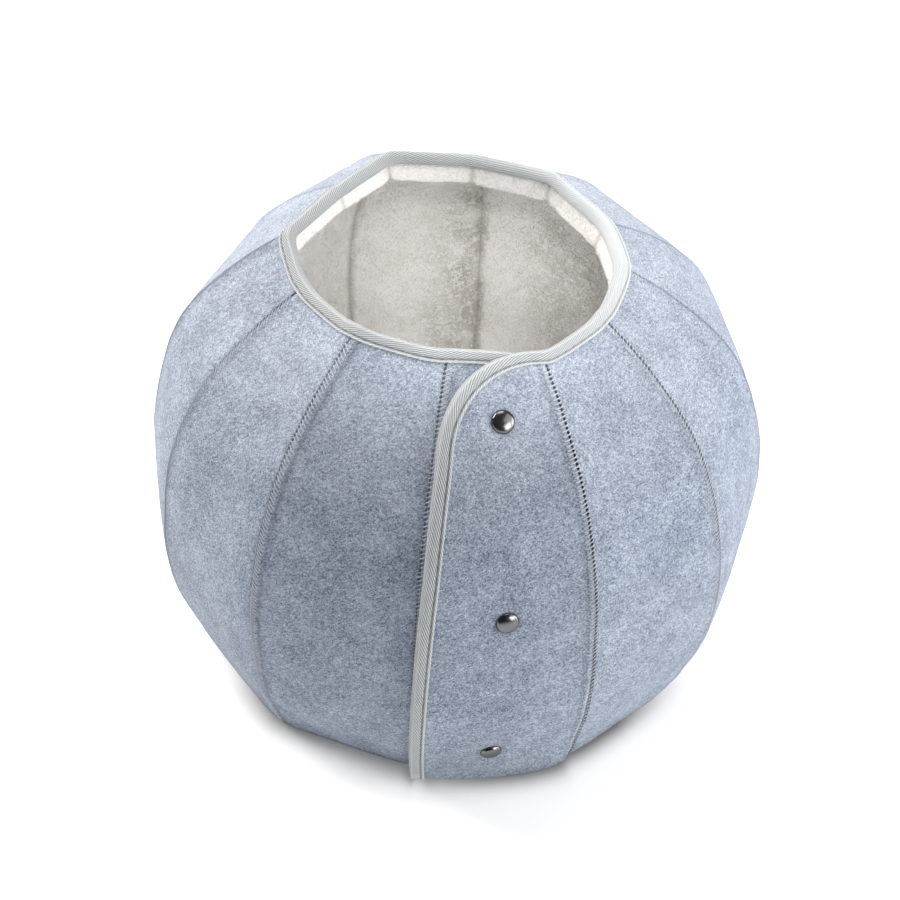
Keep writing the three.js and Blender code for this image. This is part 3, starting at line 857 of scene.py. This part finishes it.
def underlap_side(s, inset=0.0):
    """The underlap's hidden edge with its rounded corner at the rim."""
    reach = UNDERLAP_CORNER - inset
    above = np.clip(s - (LENGTH - UNDERLAP_CORNER), 0, reach)
    corner = reach - np.sqrt(reach**2 - above**2)
    return underlap_edge(s, inset + corner)


def arc_rows(rows, corner):
    """The rows with those in the last stretch below the rim placed by even turns of a round
    corner."""
    turns = np.radians(np.linspace(0, 88, 16))
    below = rows[rows < LENGTH - corner - 1]
    return np.append(below, LENGTH - corner + corner * np.sin(turns))


def underlap_grid(rows, near, middle):
    """Places over the underlap, their distances from its seam, its span at each row and the
    panel's width."""
    rows = arc_rows(rows, UNDERLAP_CORNER)
    widths = width(LAST, rows)
    left = SEAM_INSET / widths
    span = (underlap_side(rows) - left) * widths
    d = across(span, near, middle)
    q = left[:, None] + d / widths[:, None]
    return q, np.broadcast_to(rows[:, None], q.shape), d, span, widths


def felt_underlap():
    """The lower leaf's felt, from the last seam to its hidden edge."""
    q, s, d, _, widths = underlap_grid(ROWS, FELT_NEAR, FELT_MIDDLE)
    marks = stitch_marks(d, d, 1, s, np.full(d.shape, LAST))
    depth = felt_depth(d, True)
    felt_leaf("felt_underlap_leaf", "felt_underlap", underlap, q, s, depth, FELT, marks, widths)


def underlap_thickness(s, from_seam, from_edge):
    """The underlap's lining: as a gore's, but crushed under the tape along its hidden edge as
    well."""
    bound = smooth_step(from_edge, *(TAPE_LEAF + past for past in PAST_TAPE))
    return np.minimum(plush_thickness(LENGTH - s, from_seam), lerp(PLUSH_BOUND, PLUSH, bound))


def plush_underlap():
    """The lower leaf's lining, from the last seam to its hidden edge, and the pile on it."""
    q, s, d, span, widths = underlap_grid(PLUSH_ROWS, PLUSH_NEAR, PLUSH_MIDDLE)
    thick = underlap_thickness(s, d, span[:, None] - d)
    lining("plush_underlap_leaf", "plush_underlap", underlap, q, s, d, thick, widths)

    def thick_at(q, s):
        w = width(LAST, s)
        return underlap_thickness(s, q * w, underlap_side(s) * w - q * w)

    def reach(s):
        return underlap_side(s) - (TAPE_LEAF + PILE_OFF_TAPE) / width(LAST, s)

    wall_pile(LAST, underlap, thick_at, reach)


ARC_CENTRE_X = width(LAST, LENGTH) / 2 + FLAP_PAST_SEAM
ARC_CENTRE_S = LENGTH - math.sqrt(FLAP_RADIUS**2 - FLAP_PAST_SEAM**2)
ARC_TOP = math.acos(FLAP_PAST_SEAM / FLAP_RADIUS)


def flap_side(s, inset=0.0):
    """The flap's free edge across the panel at the rows below its round corner, or a line set in
    from it."""
    out = lerp(FLAP_EDGE_FLOOR, FLAP_EDGE_WAIST, np.clip(s / FLAP_WAIST, 0, 1)) + inset
    return out / width(LAST, s)


def flap_corner(turn, inset=0.0):
    """A place on the flap's round corner: an arc about a centre past the first seam, drawn on
    the flat panel."""
    radius = FLAP_RADIUS - inset
    s = ARC_CENTRE_S + radius * np.sin(turn)
    return 0.5 + (ARC_CENTRE_X - radius * np.cos(turn)) / width(LAST, s), s


def flap_outline(inset, side_step):
    """The flap's edge as places (q, s) from its free corner at the floor up and round to the
    first seam, as the side's straight run, the arc, and a smooth blend where the two meet."""
    below = np.arange(0, ARC_CENTRE_S - 4, side_step)
    turns = np.linspace(math.radians(FLAP_ARC_FROM), ARC_TOP, 44)[:-1]
    arc_q, arc_s = flap_corner(turns, inset)
    q = np.concatenate([flap_side(below, inset), arc_q, [1.0]])
    s = np.concatenate([below, arc_s, [LENGTH - inset]])
    return q, np.maximum(s, FLAP_RAISE * (1 - q * q))


def flap_grid(near):
    """Places over the flap, in rows that start on its edge and run level to the first seam, and
    their distances from that seam. Below FLAP_EVEN the rows spread to follow the raised free
    corner."""
    edge_q, edge_s = flap_outline(FLAP_INSET, FLAP_ROW)
    keep = edge_q < 0.985
    edge_q, edge_s = edge_q[keep], edge_s[keep]
    widths = width(LAST, edge_s)
    right = 1 - SEAM_INSET / widths
    span = np.maximum((right - edge_q) * widths, 0.5)
    reach = np.minimum(1, span / (2.2 * near[-1]))
    near = np.asarray(near) * reach[:, None]
    rows = [across(np.array([w]), n, FLAP_MIDDLE)[0] for w, n in zip(span, near)]
    d = np.stack(rows)
    q = edge_q[:, None] + d / widths[:, None]
    s = np.broadcast_to(edge_s[:, None], q.shape)
    lowest = FLAP_RAISE * (1 - q * q)
    spread = lerp(lowest, FLAP_EVEN, (s - s[0, 0]) / (FLAP_EVEN - s[0, 0]))
    return q, np.maximum(np.where(s < FLAP_EVEN, spread, s), lowest), span[:, None] - d


def stud_dimple(q, s):
    """How far the felt is drawn in about each press stud."""
    dent = 0
    for stud_q, stud_s in STUDS:
        apart = np.hypot((q - stud_q) * width(LAST, s), s - stud_s)
        dent = dent + STUD_DENT * bell(apart, 0, STUD_DENT_WIDE)
    return dent


def felt_flap():
    """The upper leaf's felt, from its bound edge to the first seam, drawn in about its studs."""
    q, s, from_seam = flap_grid(FELT_NEAR)
    dent = stud_dimple(q, s)
    depth, inner = felt_depth(from_seam, True) + dent, FELT + 0.5 * dent
    marks = stitch_marks(from_seam, from_seam, -1, s, np.zeros(s.shape, int))
    felt_leaf("felt_flap_leaf", "felt_flap", flap, q, s, depth, inner, marks, width(LAST, ROWS))


def plush_flap():
    """The upper leaf's lining, pressed thin between the leaves."""
    q, s, from_seam = flap_grid(PLUSH_NEAR)
    s = np.maximum(s, PLUSH_ROWS[0])
    thick = np.minimum(plush_thickness(LENGTH - s, from_seam), PLUSH_FLAP)
    lining("plush_flap_leaf", "plush_flap", flap, q, s, from_seam, thick, width(LAST, ROWS))


for number in range(LAST):
    felt_gore(number)
    plush_gore(number)
felt_underlap()
plush_underlap()
felt_flap()
plush_flap()

# ---- base

# The pad: how far in its top reaches its height, its round side, and how far its top rises
PAD_EDGE, PAD_SIDE, PAD_HALF, PAD_CROWN = 12, 4, 4.2, 2.5


def feet(share, depth):
    """The foot of each gore, depth in from its face."""
    return [gore(k)(share, np.zeros(len(share)), depth) for k in range(LAST)]


def base_outline(depth, steps=10):
    """The base's outline: the foot of each gore from the inside, then straight along behind the
    underlap and through its hidden corner."""
    share = np.linspace(0, 1, steps, endpoint=False)
    start, end, after = underlap(0.0, 0.0, depth), underlap(1.0, 0.0, depth), seam(0, 0.0, depth)
    behind = [lerp(start, end, share[:, None]), lerp(end, after, share[:, None])]
    return np.concatenate(feet(share, depth) + behind)[:, :2]


def disc(name, outline, rings, material, node, relief=None):
    """A closed disc from rings of (share of the outline, distance in from it, height), with a
    point at either end."""
    middle = outline.mean(axis=0)
    out = outline - middle
    reach = np.linalg.norm(out, axis=1, keepdims=True)
    points = [
        np.c_[middle + out * share - out / reach * inset, np.full(len(out), z)]
        for share, inset, z in rings
    ]
    points = np.concatenate(points)
    if relief is not None:
        points[:, 2] += relief(points)
    marks = {key: np.full(len(points), FAR) for key in ("join", "band", "up", "band_up")}
    faces = ring_faces(len(rings), len(outline))
    return make(name, points, faces, material, [node], values=marks)


def base_felt():
    """The base's felt: a flat disc inside the gores' feet, its edge rounded above and below."""
    outline = base_outline(FELT + GAP)
    rings = [(0.002, 0, 0), (0.5, 0, 0), (1, 1, 0), (1, 0.2, 0.3), (1, 0, 1)]
    rings += [(1, 0, 2), (1, 0.2, 2.7), (1, 1, 3), (0.5, 0, 3), (0.002, 0, 3)]
    piece = disc("base_felt_disc", outline, rings, FELT_FINISH, "base_felt")
    sewn_sheet(piece)


def base_pad():
    """The plush pad: a flat underside, a round side, and a top that rises by one less the fourth
    power of the share of the way out, all under a pile."""
    outline = base_outline(FELT + GAP + PLUSH + 2 * GAP)
    low = 2 * GAP + FELT
    high = low + PLUSH
    half, turns, steps = (low + high) / 2, np.linspace(0, math.pi, 12), np.linspace(0.02, 0.998, 60)
    side = [(1, PAD_SIDE - PAD_SIDE * math.sin(t), half + PAD_HALF * -math.cos(t)) for t in turns]
    bottom = [(0.002, 0, low), (0.6, 0, low), (1, PAD_EDGE, low)]
    top = [(1 - t, PAD_EDGE * min(1, t * 8), high + PAD_CROWN * (1 - (1 - t) ** 4)) for t in steps]

    def relief(points):
        upper = smooth_step(points[:, 2], high - 3, high)
        return upper * (1.2 * lattice_noise(points, 40, 8) + pile_relief(points))

    rings = bottom + side + top
    piece = disc("base_plush_pad", outline, rings, PLUSH_FINISH, "base_plush", relief)
    at = RNG.uniform(0, len(outline), PAD_PILE)
    first = at.astype(int)
    edge = lerp(outline[first], outline[(first + 1) % len(outline)], (at - first)[:, None])
    middle = outline.mean(axis=0)
    out = edge - middle
    share = np.sqrt(RNG.uniform(0.001, 0.92, PAD_PILE))[:, None]
    inset = PAD_EDGE * np.minimum(1, 8 * (1 - share)) / np.linalg.norm(out, axis=1, keepdims=True)
    points = np.c_[middle + out * (share - inset), high + PAD_CROWN * (1 - share**4)]
    points[:, 2] += relief(points)
    tufts("pile_base", points, np.broadcast_to([0.0, 0.0, 1.0], points.shape), 0.15, (0, 0, 0))


base_felt()
base_pad()

# ---- tape

BOUND = FELT + GAP + PLUSH_BOUND  # the wall's thickness in the tape
TAPE_STEP, TAPE_EASED = 2.0, 3
FOLD = 2.9
# Where the tape is painted paler and flatter as light falling on its right side: its direction,
# how far either way, and its least and full height
PAINTED_LIGHT, PAINTED_LIGHT_WIDE, PAINTED_LIGHT_HIGH = math.radians(12), 1.0, (270, 290)


def tape_section():
    """The folded tape's outer face as (reach in from the selvedge, depth), from the front
    selvedge round the fold to the back one: a raised selvedge, a groove where it is stitched
    down and a plump leaf."""
    at = np.append([0, 0.25, 0.8, 1.3, 1.7, 2.0, 2.3, 2.6, 3.0, 3.6], np.linspace(4.4, 7.2, 5))
    puff = 0.55 * np.sin(np.pi * np.clip((at - TAPE_STITCH_AT) / 8, 0, 1))
    puff += 0.15 * bell(at, 0.9, 0.6)
    groove = 0.5 * bell(at, TAPE_STITCH_AT, 0.5)
    leaf = -GAP - TAPE - puff + groove + rounded(at, 0.4)
    middle, half = BOUND / 2, BOUND / 2 - leaf[-1]
    turns = np.linspace(0, math.pi, 15)[1:-1]
    fold_at = at[-1] + FOLD * np.sin(turns)
    fold_depth = middle - half * np.cos(turns)
    back = 2 * middle - leaf[::-1]
    return np.concatenate([at, fold_at, at[::-1]]), np.concatenate([leaf, fold_depth, back])


def inner_section(at, depth):
    """The same section one thickness of tape in, kept clear of the cloth that it binds."""
    path = np.stack([at, depth], -1)
    along = np.gradient(path, axis=0)
    inner = path + unit(np.stack([-along[:, 1], along[:, 0]], -1)) * TAPE
    front = np.arange(len(at)) < len(at) / 2
    at, depth = inner.T
    middle = BOUND / 2
    return np.maximum(at, 0), np.where(front, np.minimum(depth, middle), np.maximum(depth, middle))


def rim_run(point, end, steps):
    """A straight rim: even steps across a panel, on the edge and one leaf in."""
    q, s = np.linspace(0, end, steps + 1)[1:], np.full(steps, LENGTH)
    return point, q, s, q, s - TAPE_LEAF


def tape_runs():
    """The bound edge as runs of (surface, edge places, places one leaf in): the flap's edge, the
    rim of each gore, the underlap's rim, its round corner and its hidden edge down to the floor."""
    runs = [(flap, *flap_outline(0, TAPE_STEP), *flap_outline(TAPE_LEAF, TAPE_STEP))]
    steps = [int(width(k, LENGTH) / TAPE_STEP) for k in range(COUNT)]
    runs += [rim_run(gore(k), 1, steps[k]) for k in range(LAST)]
    runs.append(rim_run(underlap, underlap_edge(LENGTH, UNDERLAP_CORNER), steps[LAST] - 6))
    turns = np.radians(np.linspace(0, 90, 9)[1:])

    def corner(inset):
        radius = UNDERLAP_CORNER - inset
        s = LENGTH - UNDERLAP_CORNER + radius * np.cos(turns)
        return underlap_edge(s, UNDERLAP_CORNER - radius * np.sin(turns)), s

    runs.append((underlap, *corner(0), *corner(TAPE_LEAF)))
    down = np.arange(LENGTH - UNDERLAP_CORNER - TAPE_STEP, 5, -TAPE_STEP)
    runs.append((underlap, underlap_edge(down), down, underlap_edge(down, TAPE_LEAF), down))
    return runs


def tape_grid(at, depth):
    """The tape's face over every run, each point placed by its share of the way from one leaf in
    to the edge, eased along the tape so that it turns the rim's corners softly."""
    stations = []
    for point, edge_q, edge_s, leaf_q, leaf_s in tape_runs():
        share = at[None] / TAPE_LEAF
        q = lerp(leaf_q[:, None], edge_q[:, None], share)
        s = lerp(leaf_s[:, None], edge_s[:, None], share)
        stations.append(point(q, s, depth[None]))
    grid = np.concatenate(stations)
    reach = np.arange(-TAPE_EASED, TAPE_EASED + 1)
    weights = np.exp(-(reach**2) / 3.5)
    weights /= weights.sum()
    padded = np.pad(grid, (2 * (TAPE_EASED,), (0, 0), (0, 0)), mode="reflect", reflect_type="odd")
    return sum(w * padded[TAPE_EASED + r :][: len(grid)] for r, w in zip(reach, weights))


def binding_tape():
    """The folded tape: its outer and inner faces joined, its cloth's two directions, the painted
    shade in its stitches' groove, darker at each stitch, the painted highlight on its fold and
    selvedge, and the painted light that makes it paler and flatter near the rim on the right."""
    at, depth = tape_section()
    outer = tape_grid(at, depth)
    inner = tape_grid(*inner_section(at, depth))
    points, faces = shell(outer, inner)
    along, over = distances(outer[:, len(at) // 3]), distances(np.stack([at, depth], -1))
    uv = np.stack(np.broadcast_arrays(along[:, None], over[None]), -1).reshape(-1, 2)
    pulse = 0.5 + 0.5 * np.cos(2 * np.pi * along / TAPE_STITCH_PITCH)
    near = bell(at, TAPE_STITCH_AT, 0.45)
    turn = np.arctan2(outer[..., 1], outer[..., 0])
    # Painted light: paler, flatter tape with a fainter groove on its lit right side near the rim
    painted_light = bell(turn, PAINTED_LIGHT, PAINTED_LIGHT_WIDE) * smooth_step(outer[..., 2], *PAINTED_LIGHT_HIGH)
    # Painted shade in the stitched groove, darker at each stitch
    groove = (0.45 + 0.5 * pulse[:, None]) * near[None] * (1 - 0.7 * painted_light)
    # Painted highlight on the selvedge and the fold
    pale = 0.7 * bell(at, 0.7, 0.5) + 0.5 * bell(over, 8.6, 0.6)
    pale = np.maximum(pale[None], 0.3 * painted_light)
    marks = {"groove": groove, "pale": pale, "woven": 1 - 0.5 * painted_light}
    marks = {key: np.append(v, v) for key, v in marks.items()}
    uv = np.concatenate([uv, uv])
    piece = make("rim_tape", points, faces, TAPE_FINISH, ["binding_tape"], uv, marks)
    sewn_sheet(piece, area=over[-1] * along[-1] * MM**2)


binding_tape()

# ---- stitches


def tubes(paths, outward, radius, sides=6):
    """Points and faces of many short threads: rings about each path's points, square to the
    path, that shrink to nothing at its two ends."""
    along = unit(np.gradient(paths, axis=1))
    side = unit(np.cross(along, outward))
    up = np.cross(side, along)
    steps = paths.shape[1]
    ends = np.sqrt(1 - np.abs(np.linspace(-1, 1, steps)) ** 6 * 0.98)
    turn = np.linspace(0, 2 * np.pi, sides, endpoint=False)
    spread = radius * ends[None, :, None, None]
    ring = side[:, :, None] * np.cos(turn)[:, None] + up[:, :, None] * np.sin(turn)[:, None]
    points = (paths[:, :, None] + spread * ring).reshape(-1, 3)
    one = ring_faces(steps, sides)
    first = np.arange(len(paths)) * steps * sides
    return points, (first[:, None, None] + one[None]).reshape(-1, 4)


def outward_at(k, s):
    """The wall's outward direction at seam k."""
    turn = math.radians(SEAMS[k % COUNT, 0])
    _, _, out_r, out_z = section(s)
    return np.stack([out_r * math.cos(turn), out_r * math.sin(turn), out_z], -1)


def seam_threads(k, left, right, high):
    """The threads over seam k: each a low arch, the square root of a parabola, that starts just
    past the join and runs at the seam's own slant to its needle hole in the band on the other
    side, a little uneven."""
    count = int((high - STITCH_FROM) / STITCH_PITCH)
    stray = (RNG.normal(0, each, count) for each in THREAD_STRAY)
    s = STITCH_FROM + STITCH_PITCH * (np.arange(count) + 0.5) + next(stray)
    if k == 0:
        s = np.interp(s, EVEN, HEIGHTS)
    side = band_side(k)
    slope, radius, past = SEWN[k, 3:6]
    t = np.linspace(0, 1, 9)
    ends = -side * past + next(stray), side * BAND + next(stray)
    above = s >= STITCH_FROM
    s, start, end = s[above], *(each[above, None] for each in ends)
    e = lerp(start, end, t[None])
    rise = np.clip(s[:, None] + slope * e, 1, high)
    taut = lerp(ARCH_LOW[k], 1, smooth_step(rise, *ARCH_CHANGE))
    depth = THREAD_SUNK - THREAD_ARCH * taut * (4 * t * (1 - t))[None] ** 0.5
    on_left = left(1 + e / width(k - 1 if k else LAST, rise), rise, depth)
    on_right = right(e / width(k % COUNT, rise), rise, depth)
    paths = np.where((e < 0)[..., None], on_left, on_right)
    slim = lerp(ARCH_LOW[k], 1, smooth_step(s, *ARCH_CHANGE)) ** 0.5
    return tubes(paths, outward_at(k, rise), radius * slim[:, None, None, None])


def all_seam_threads():
    """The threads of every seam, each seam's between the surfaces on its left and right."""
    for k in range(COUNT):
        left = flap if k == 0 else gore(k - 1)
        right = underlap if k == LAST else gore(k)
        points, faces = seam_threads(k, left, right, LENGTH - TAPE_LEAF - 0.5)
        lost = {"lost": np.full(len(points), SEWN[k, 6])}
        make(f"seam_stitches_{k + 1}", points, faces, THREAD_FINISH, values=lost)


all_seam_threads()

# ---- press studs


def square_frame(axis):
    """Two directions square to the axis and to each other."""
    side = np.cross([0, 0, 1], axis)
    side /= np.linalg.norm(side)
    return side, np.cross(axis, side)


def turned(profile, place, axis, sides=40):
    """Points and quads of a profile of (radius, height) turned about an axis at a place."""
    side, up = square_frame(axis)
    turn = np.linspace(0, 2 * np.pi, sides, endpoint=False)
    ring = np.cos(turn)[:, None] * side + np.sin(turn)[:, None] * up
    points = [place + height * axis + radius * ring for radius, height in profile]
    return np.concatenate(points), ring_faces(len(profile), sides)


def stud_place(q, s):
    """The flap's face at a stud, and its outward normal from the surface about it: the cross
    product of its slopes across and up."""
    over = flap(q + 0.05, s, 0) - flap(q - 0.05, s, 0)
    normal = np.cross(over, flap(q, s + 5, 0) - flap(q, s - 5, 0))
    return flap(q, s, 0), normal / np.linalg.norm(normal)


def dome(radius, low, high):
    """A dome's profile: an ellipse's quarter, from near its foot to near its middle."""
    share = np.linspace(0.995, 0.003, 18)
    return [(radius * x, low + (high - low) * math.sqrt(1 - x * x)) for x in share]


def press_stud(number, q, s):
    """A stud's three turned parts, as profiles of (radius, height out from the flap's face): the
    cap on the flap, the socket behind it, and the ball on the underlap, STEP further in."""
    place, normal = stud_place(q, s)
    nodes = [f"stud_{part}_{number}" for part in ("cap", "socket", "ball")]
    cap = [(0.02, -0.6), (6.8, -0.6), (7.15, -0.35), (7.2, 0.1), (7.05, 0.5), *dome(6.9, 0.55, 3.2)]
    foot, top = 1.9 - STEP, -FELT - 0.8
    socket = [(2.2, foot), (4.6, foot), (5, foot + 0.3), (5, top - 0.5), (4.6, top), (2.2, top)]
    socket += socket[:1]
    base, step = 0.8 - STEP, 1.7 - STEP
    ball = [(0.02, base), (4.7, base), (5, base + 0.3), (5, step - 0.1), (4.8, step), (1.5, step)]
    ball += [(1.5, step + 1), (1.9, step + 1.7), (1.9, top - 0.7), (1.4, top - 0.1), (0.02, top)]
    for node, profile in zip(nodes, (cap, socket, ball)):
        points, faces = turned(profile, place, normal)
        make(node.replace("stud", "press_stud"), points, faces, METAL_FINISH, [node])


for number, place in enumerate(STUDS, 1):
    press_stud(number, *place)

# ---- camera, floor and light

CAMERA_PLACE = (-0.0041, -0.7372, 0.8801)
CAMERA_TILT = 46.185
CAMERA_ROLL = 1.342
CAMERA_LENS = 58.85
FLOOR_GLOW = 0.28
BED_MIDDLE = (0, 0, 0.15)

# How dark the bed's contact shadow painted on the floor is, by direction in degrees, and how far
# and by which power of the distance it clears on the left and on the right
SHADE_TURN = [0, 30, 50, 130, 150, 210, 217, 225, 233, 241, 250, 262, 270]
SHADE_TURN += [278, 286, 300, 308, 315, 323, 330]
SHADE_DARK = [0, 0, 0.45, 0.45, 0, 0, 0.15, 0.46, 0.68, 0.64, 0.58, 0.56, 0.42]
SHADE_DARK += [0.62, 0.76, 0.82, 0.84, 0.52, 0.19, 0]
SHADE_REACH, SHADE_POWER = (14, 10), (1.3, 1.75)

# The floor's rings, by their distance out from the bed's foot
RINGS = [-60, -20, -6, -2, *range(7), 8, 10, 12, 14, 17, 20, 24, 28, 34, 42]
RINGS += [60, 120, 500, 2500, 12000]


def add_camera():
    camera = bpy.data.objects.new("camera", bpy.data.cameras.new("camera"))
    camera.data.lens = CAMERA_LENS
    camera.data.sensor_width = 36
    aim = Euler((math.radians(90 - CAMERA_TILT), 0, 0)).to_matrix()
    roll = Matrix.Rotation(math.radians(CAMERA_ROLL), 3, "Z")
    camera.matrix_world = Matrix.Translation(CAMERA_PLACE) @ (aim @ roll).to_4x4()
    bpy.context.scene.collection.objects.link(camera)
    bpy.context.scene.camera = camera


def add_floor():
    """The floor, a softly lit white table that glows a little: rings about the bed's outline, each
    further out. Along the front and the back the bed's contact shadow is painted into its colour
    and glow, and clears by a power of the distance, more slowly on the left."""
    turn = np.linspace(0, 2 * np.pi, 360, endpoint=False)
    way = np.stack([np.cos(turn), np.sin(turn)], -1)
    share = np.linspace(0, 1, 12)
    outline = np.concatenate(feet(share, 0.0) + [flap(share, np.zeros(12), 0.0)])[:, :2]
    middle = outline.mean(axis=0)
    x, y = (outline - middle).T
    edge = np.interp(turn, np.arctan2(y, x), np.hypot(x, y), period=2 * np.pi)[:, None]
    rings = [np.c_[middle + way * (edge + d), np.zeros(len(turn))] for d in RINGS]
    right = smooth_step(way[:, 0], -0.85, -0.3)
    reach, power = lerp(*SHADE_REACH, right), lerp(*SHADE_POWER, right)
    strength = np.interp(np.degrees(turn), SHADE_TURN, SHADE_DARK)
    # Painted shadow: the bed's contact shade on the floor, by direction and distance
    shade = [strength * np.exp(-((max(d, 0) / reach) ** power)) for d in RINGS]
    mesh = bpy.data.meshes.new("floor")
    faces = ring_faces(len(RINGS), len(turn))
    mesh.from_pydata((np.concatenate(rings) * MM).tolist(), [], faces[:, ::-1].tolist())
    mesh.attributes.new("shade", "FLOAT", "POINT").data.foreach_set("value", np.concatenate(shade))
    paint = Finish("floor_paint", Roughness=0.9, Emission_Strength=FLOOR_GLOW)
    # The painted contact shadow darkens the floor's colour and its glow
    colour = paint.mix(paint.attribute("shade"), (0.93, 0.93, 0.93), (0.0, 0.0, 0.0))
    mesh.materials.append(paint.finish(colour, Emission_Color=colour))
    floor = bpy.data.objects.new("floor", mesh)
    bpy.context.scene.collection.objects.link(floor)


def aimed(name, light, place, aim):
    """A lamp at a place that faces another."""
    lamp = bpy.data.objects.new(name, light)
    lamp.location = place
    lamp.rotation_euler = (Vector(aim) - Vector(place)).to_track_quat("-Z", "Y").to_euler()
    bpy.context.scene.collection.objects.link(lamp)
    return lamp


def add_softbox(name, place, size, power, colour=(1, 1, 1)):
    """A soft square light at a place, facing the middle of the bed."""
    light = bpy.data.lights.new(name, "AREA")
    light.color = colour
    light.shape = "SQUARE"
    light.size = size
    light.energy = power
    return aimed(name, light, place, BED_MIDDLE)


def add_snoot(name, place, aim, spread, radius, power):
    """A narrow soft-edged lamp that lights the lining through the mouth."""
    light = bpy.data.lights.new(name, "SPOT")
    light.spot_size = math.radians(spread)
    light.spot_blend = 0.6
    light.shadow_soft_size = radius
    light.energy = power
    aimed(name, light, place, aim).visible_glossy = False


def add_inner_glow(power):
    """A soft flat lamp low in the bed that faces up and stands for the light the pale lining
    passes about."""
    light = bpy.data.lights.new("inner_glow", "AREA")
    light.shape = "DISK"
    light.size = 0.22
    light.energy = power
    lamp = aimed("inner_glow", light, (0, 0, 0.07), (0, 0, 1))
    lamp.visible_camera = lamp.visible_glossy = False


def add_sky(strength):
    """Even light from all round, left out of reflections so that the metal shows the softboxes
    alone."""
    world = bpy.data.worlds.new("studio")
    world.use_nodes = True
    sky = world.node_tree.nodes["Background"].inputs
    sky["Color"].default_value = (0.94, 0.97, 1, 1)
    sky["Strength"].default_value = strength
    bpy.context.scene.world = world
    world.cycles_visibility.glossy = False


add_camera()
add_floor()
add_sky(0.4)
add_softbox("left_high_softbox", (-1.5, 0.8, 1.3), 1.1, 52, (1, 0.96, 0.92))
add_softbox("right_front_softbox", (1.6, -1.4, 1.0), 1.0, 5)
add_softbox("right_high_softbox", (1.5, -0.4, 1.2), 1.6, 14.5, (1, 0.96, 0.92))
add_softbox("right_low_softbox", (1.9, -0.1, 0.5), 1.1, 22)
add_softbox("back_top_softbox", (0, 1.0, 2.2), 1.4, 28, (1, 0.97, 0.94))
# A card that gives the metal its highlights and lights nothing else
add_softbox("shine_card", (1.25, -1.15, 0.75), 0.9, 17).visible_diffuse = False
add_snoot("front_snoot", (-0.004, -0.8, 1.1), (0.005, 0.05, 0.22), 9.5, 0.06, 44)
add_snoot("right_snoot", (0.45, -0.75, 1.15), (-0.01, 0.04, 0.22), 9.0, 0.08, 12)
add_snoot("side_snoot", (0.8, -1.25, 1.0), (-0.03, 0.06, 0.262), 7.5, 0.16, 22)
add_snoot("left_wall_snoot", (1.3, -0.25, 0.85), (-0.12, 0.08, 0.21), 8.0, 0.1, 26)
add_snoot("right_roll_snoot", (-1.3, 0.2, 0.8), (0.1, 0.04, 0.28), 5.0, 0.08, 16)
add_inner_glow(0.25)
bpy.context.scene.view_settings.view_transform = "Standard"
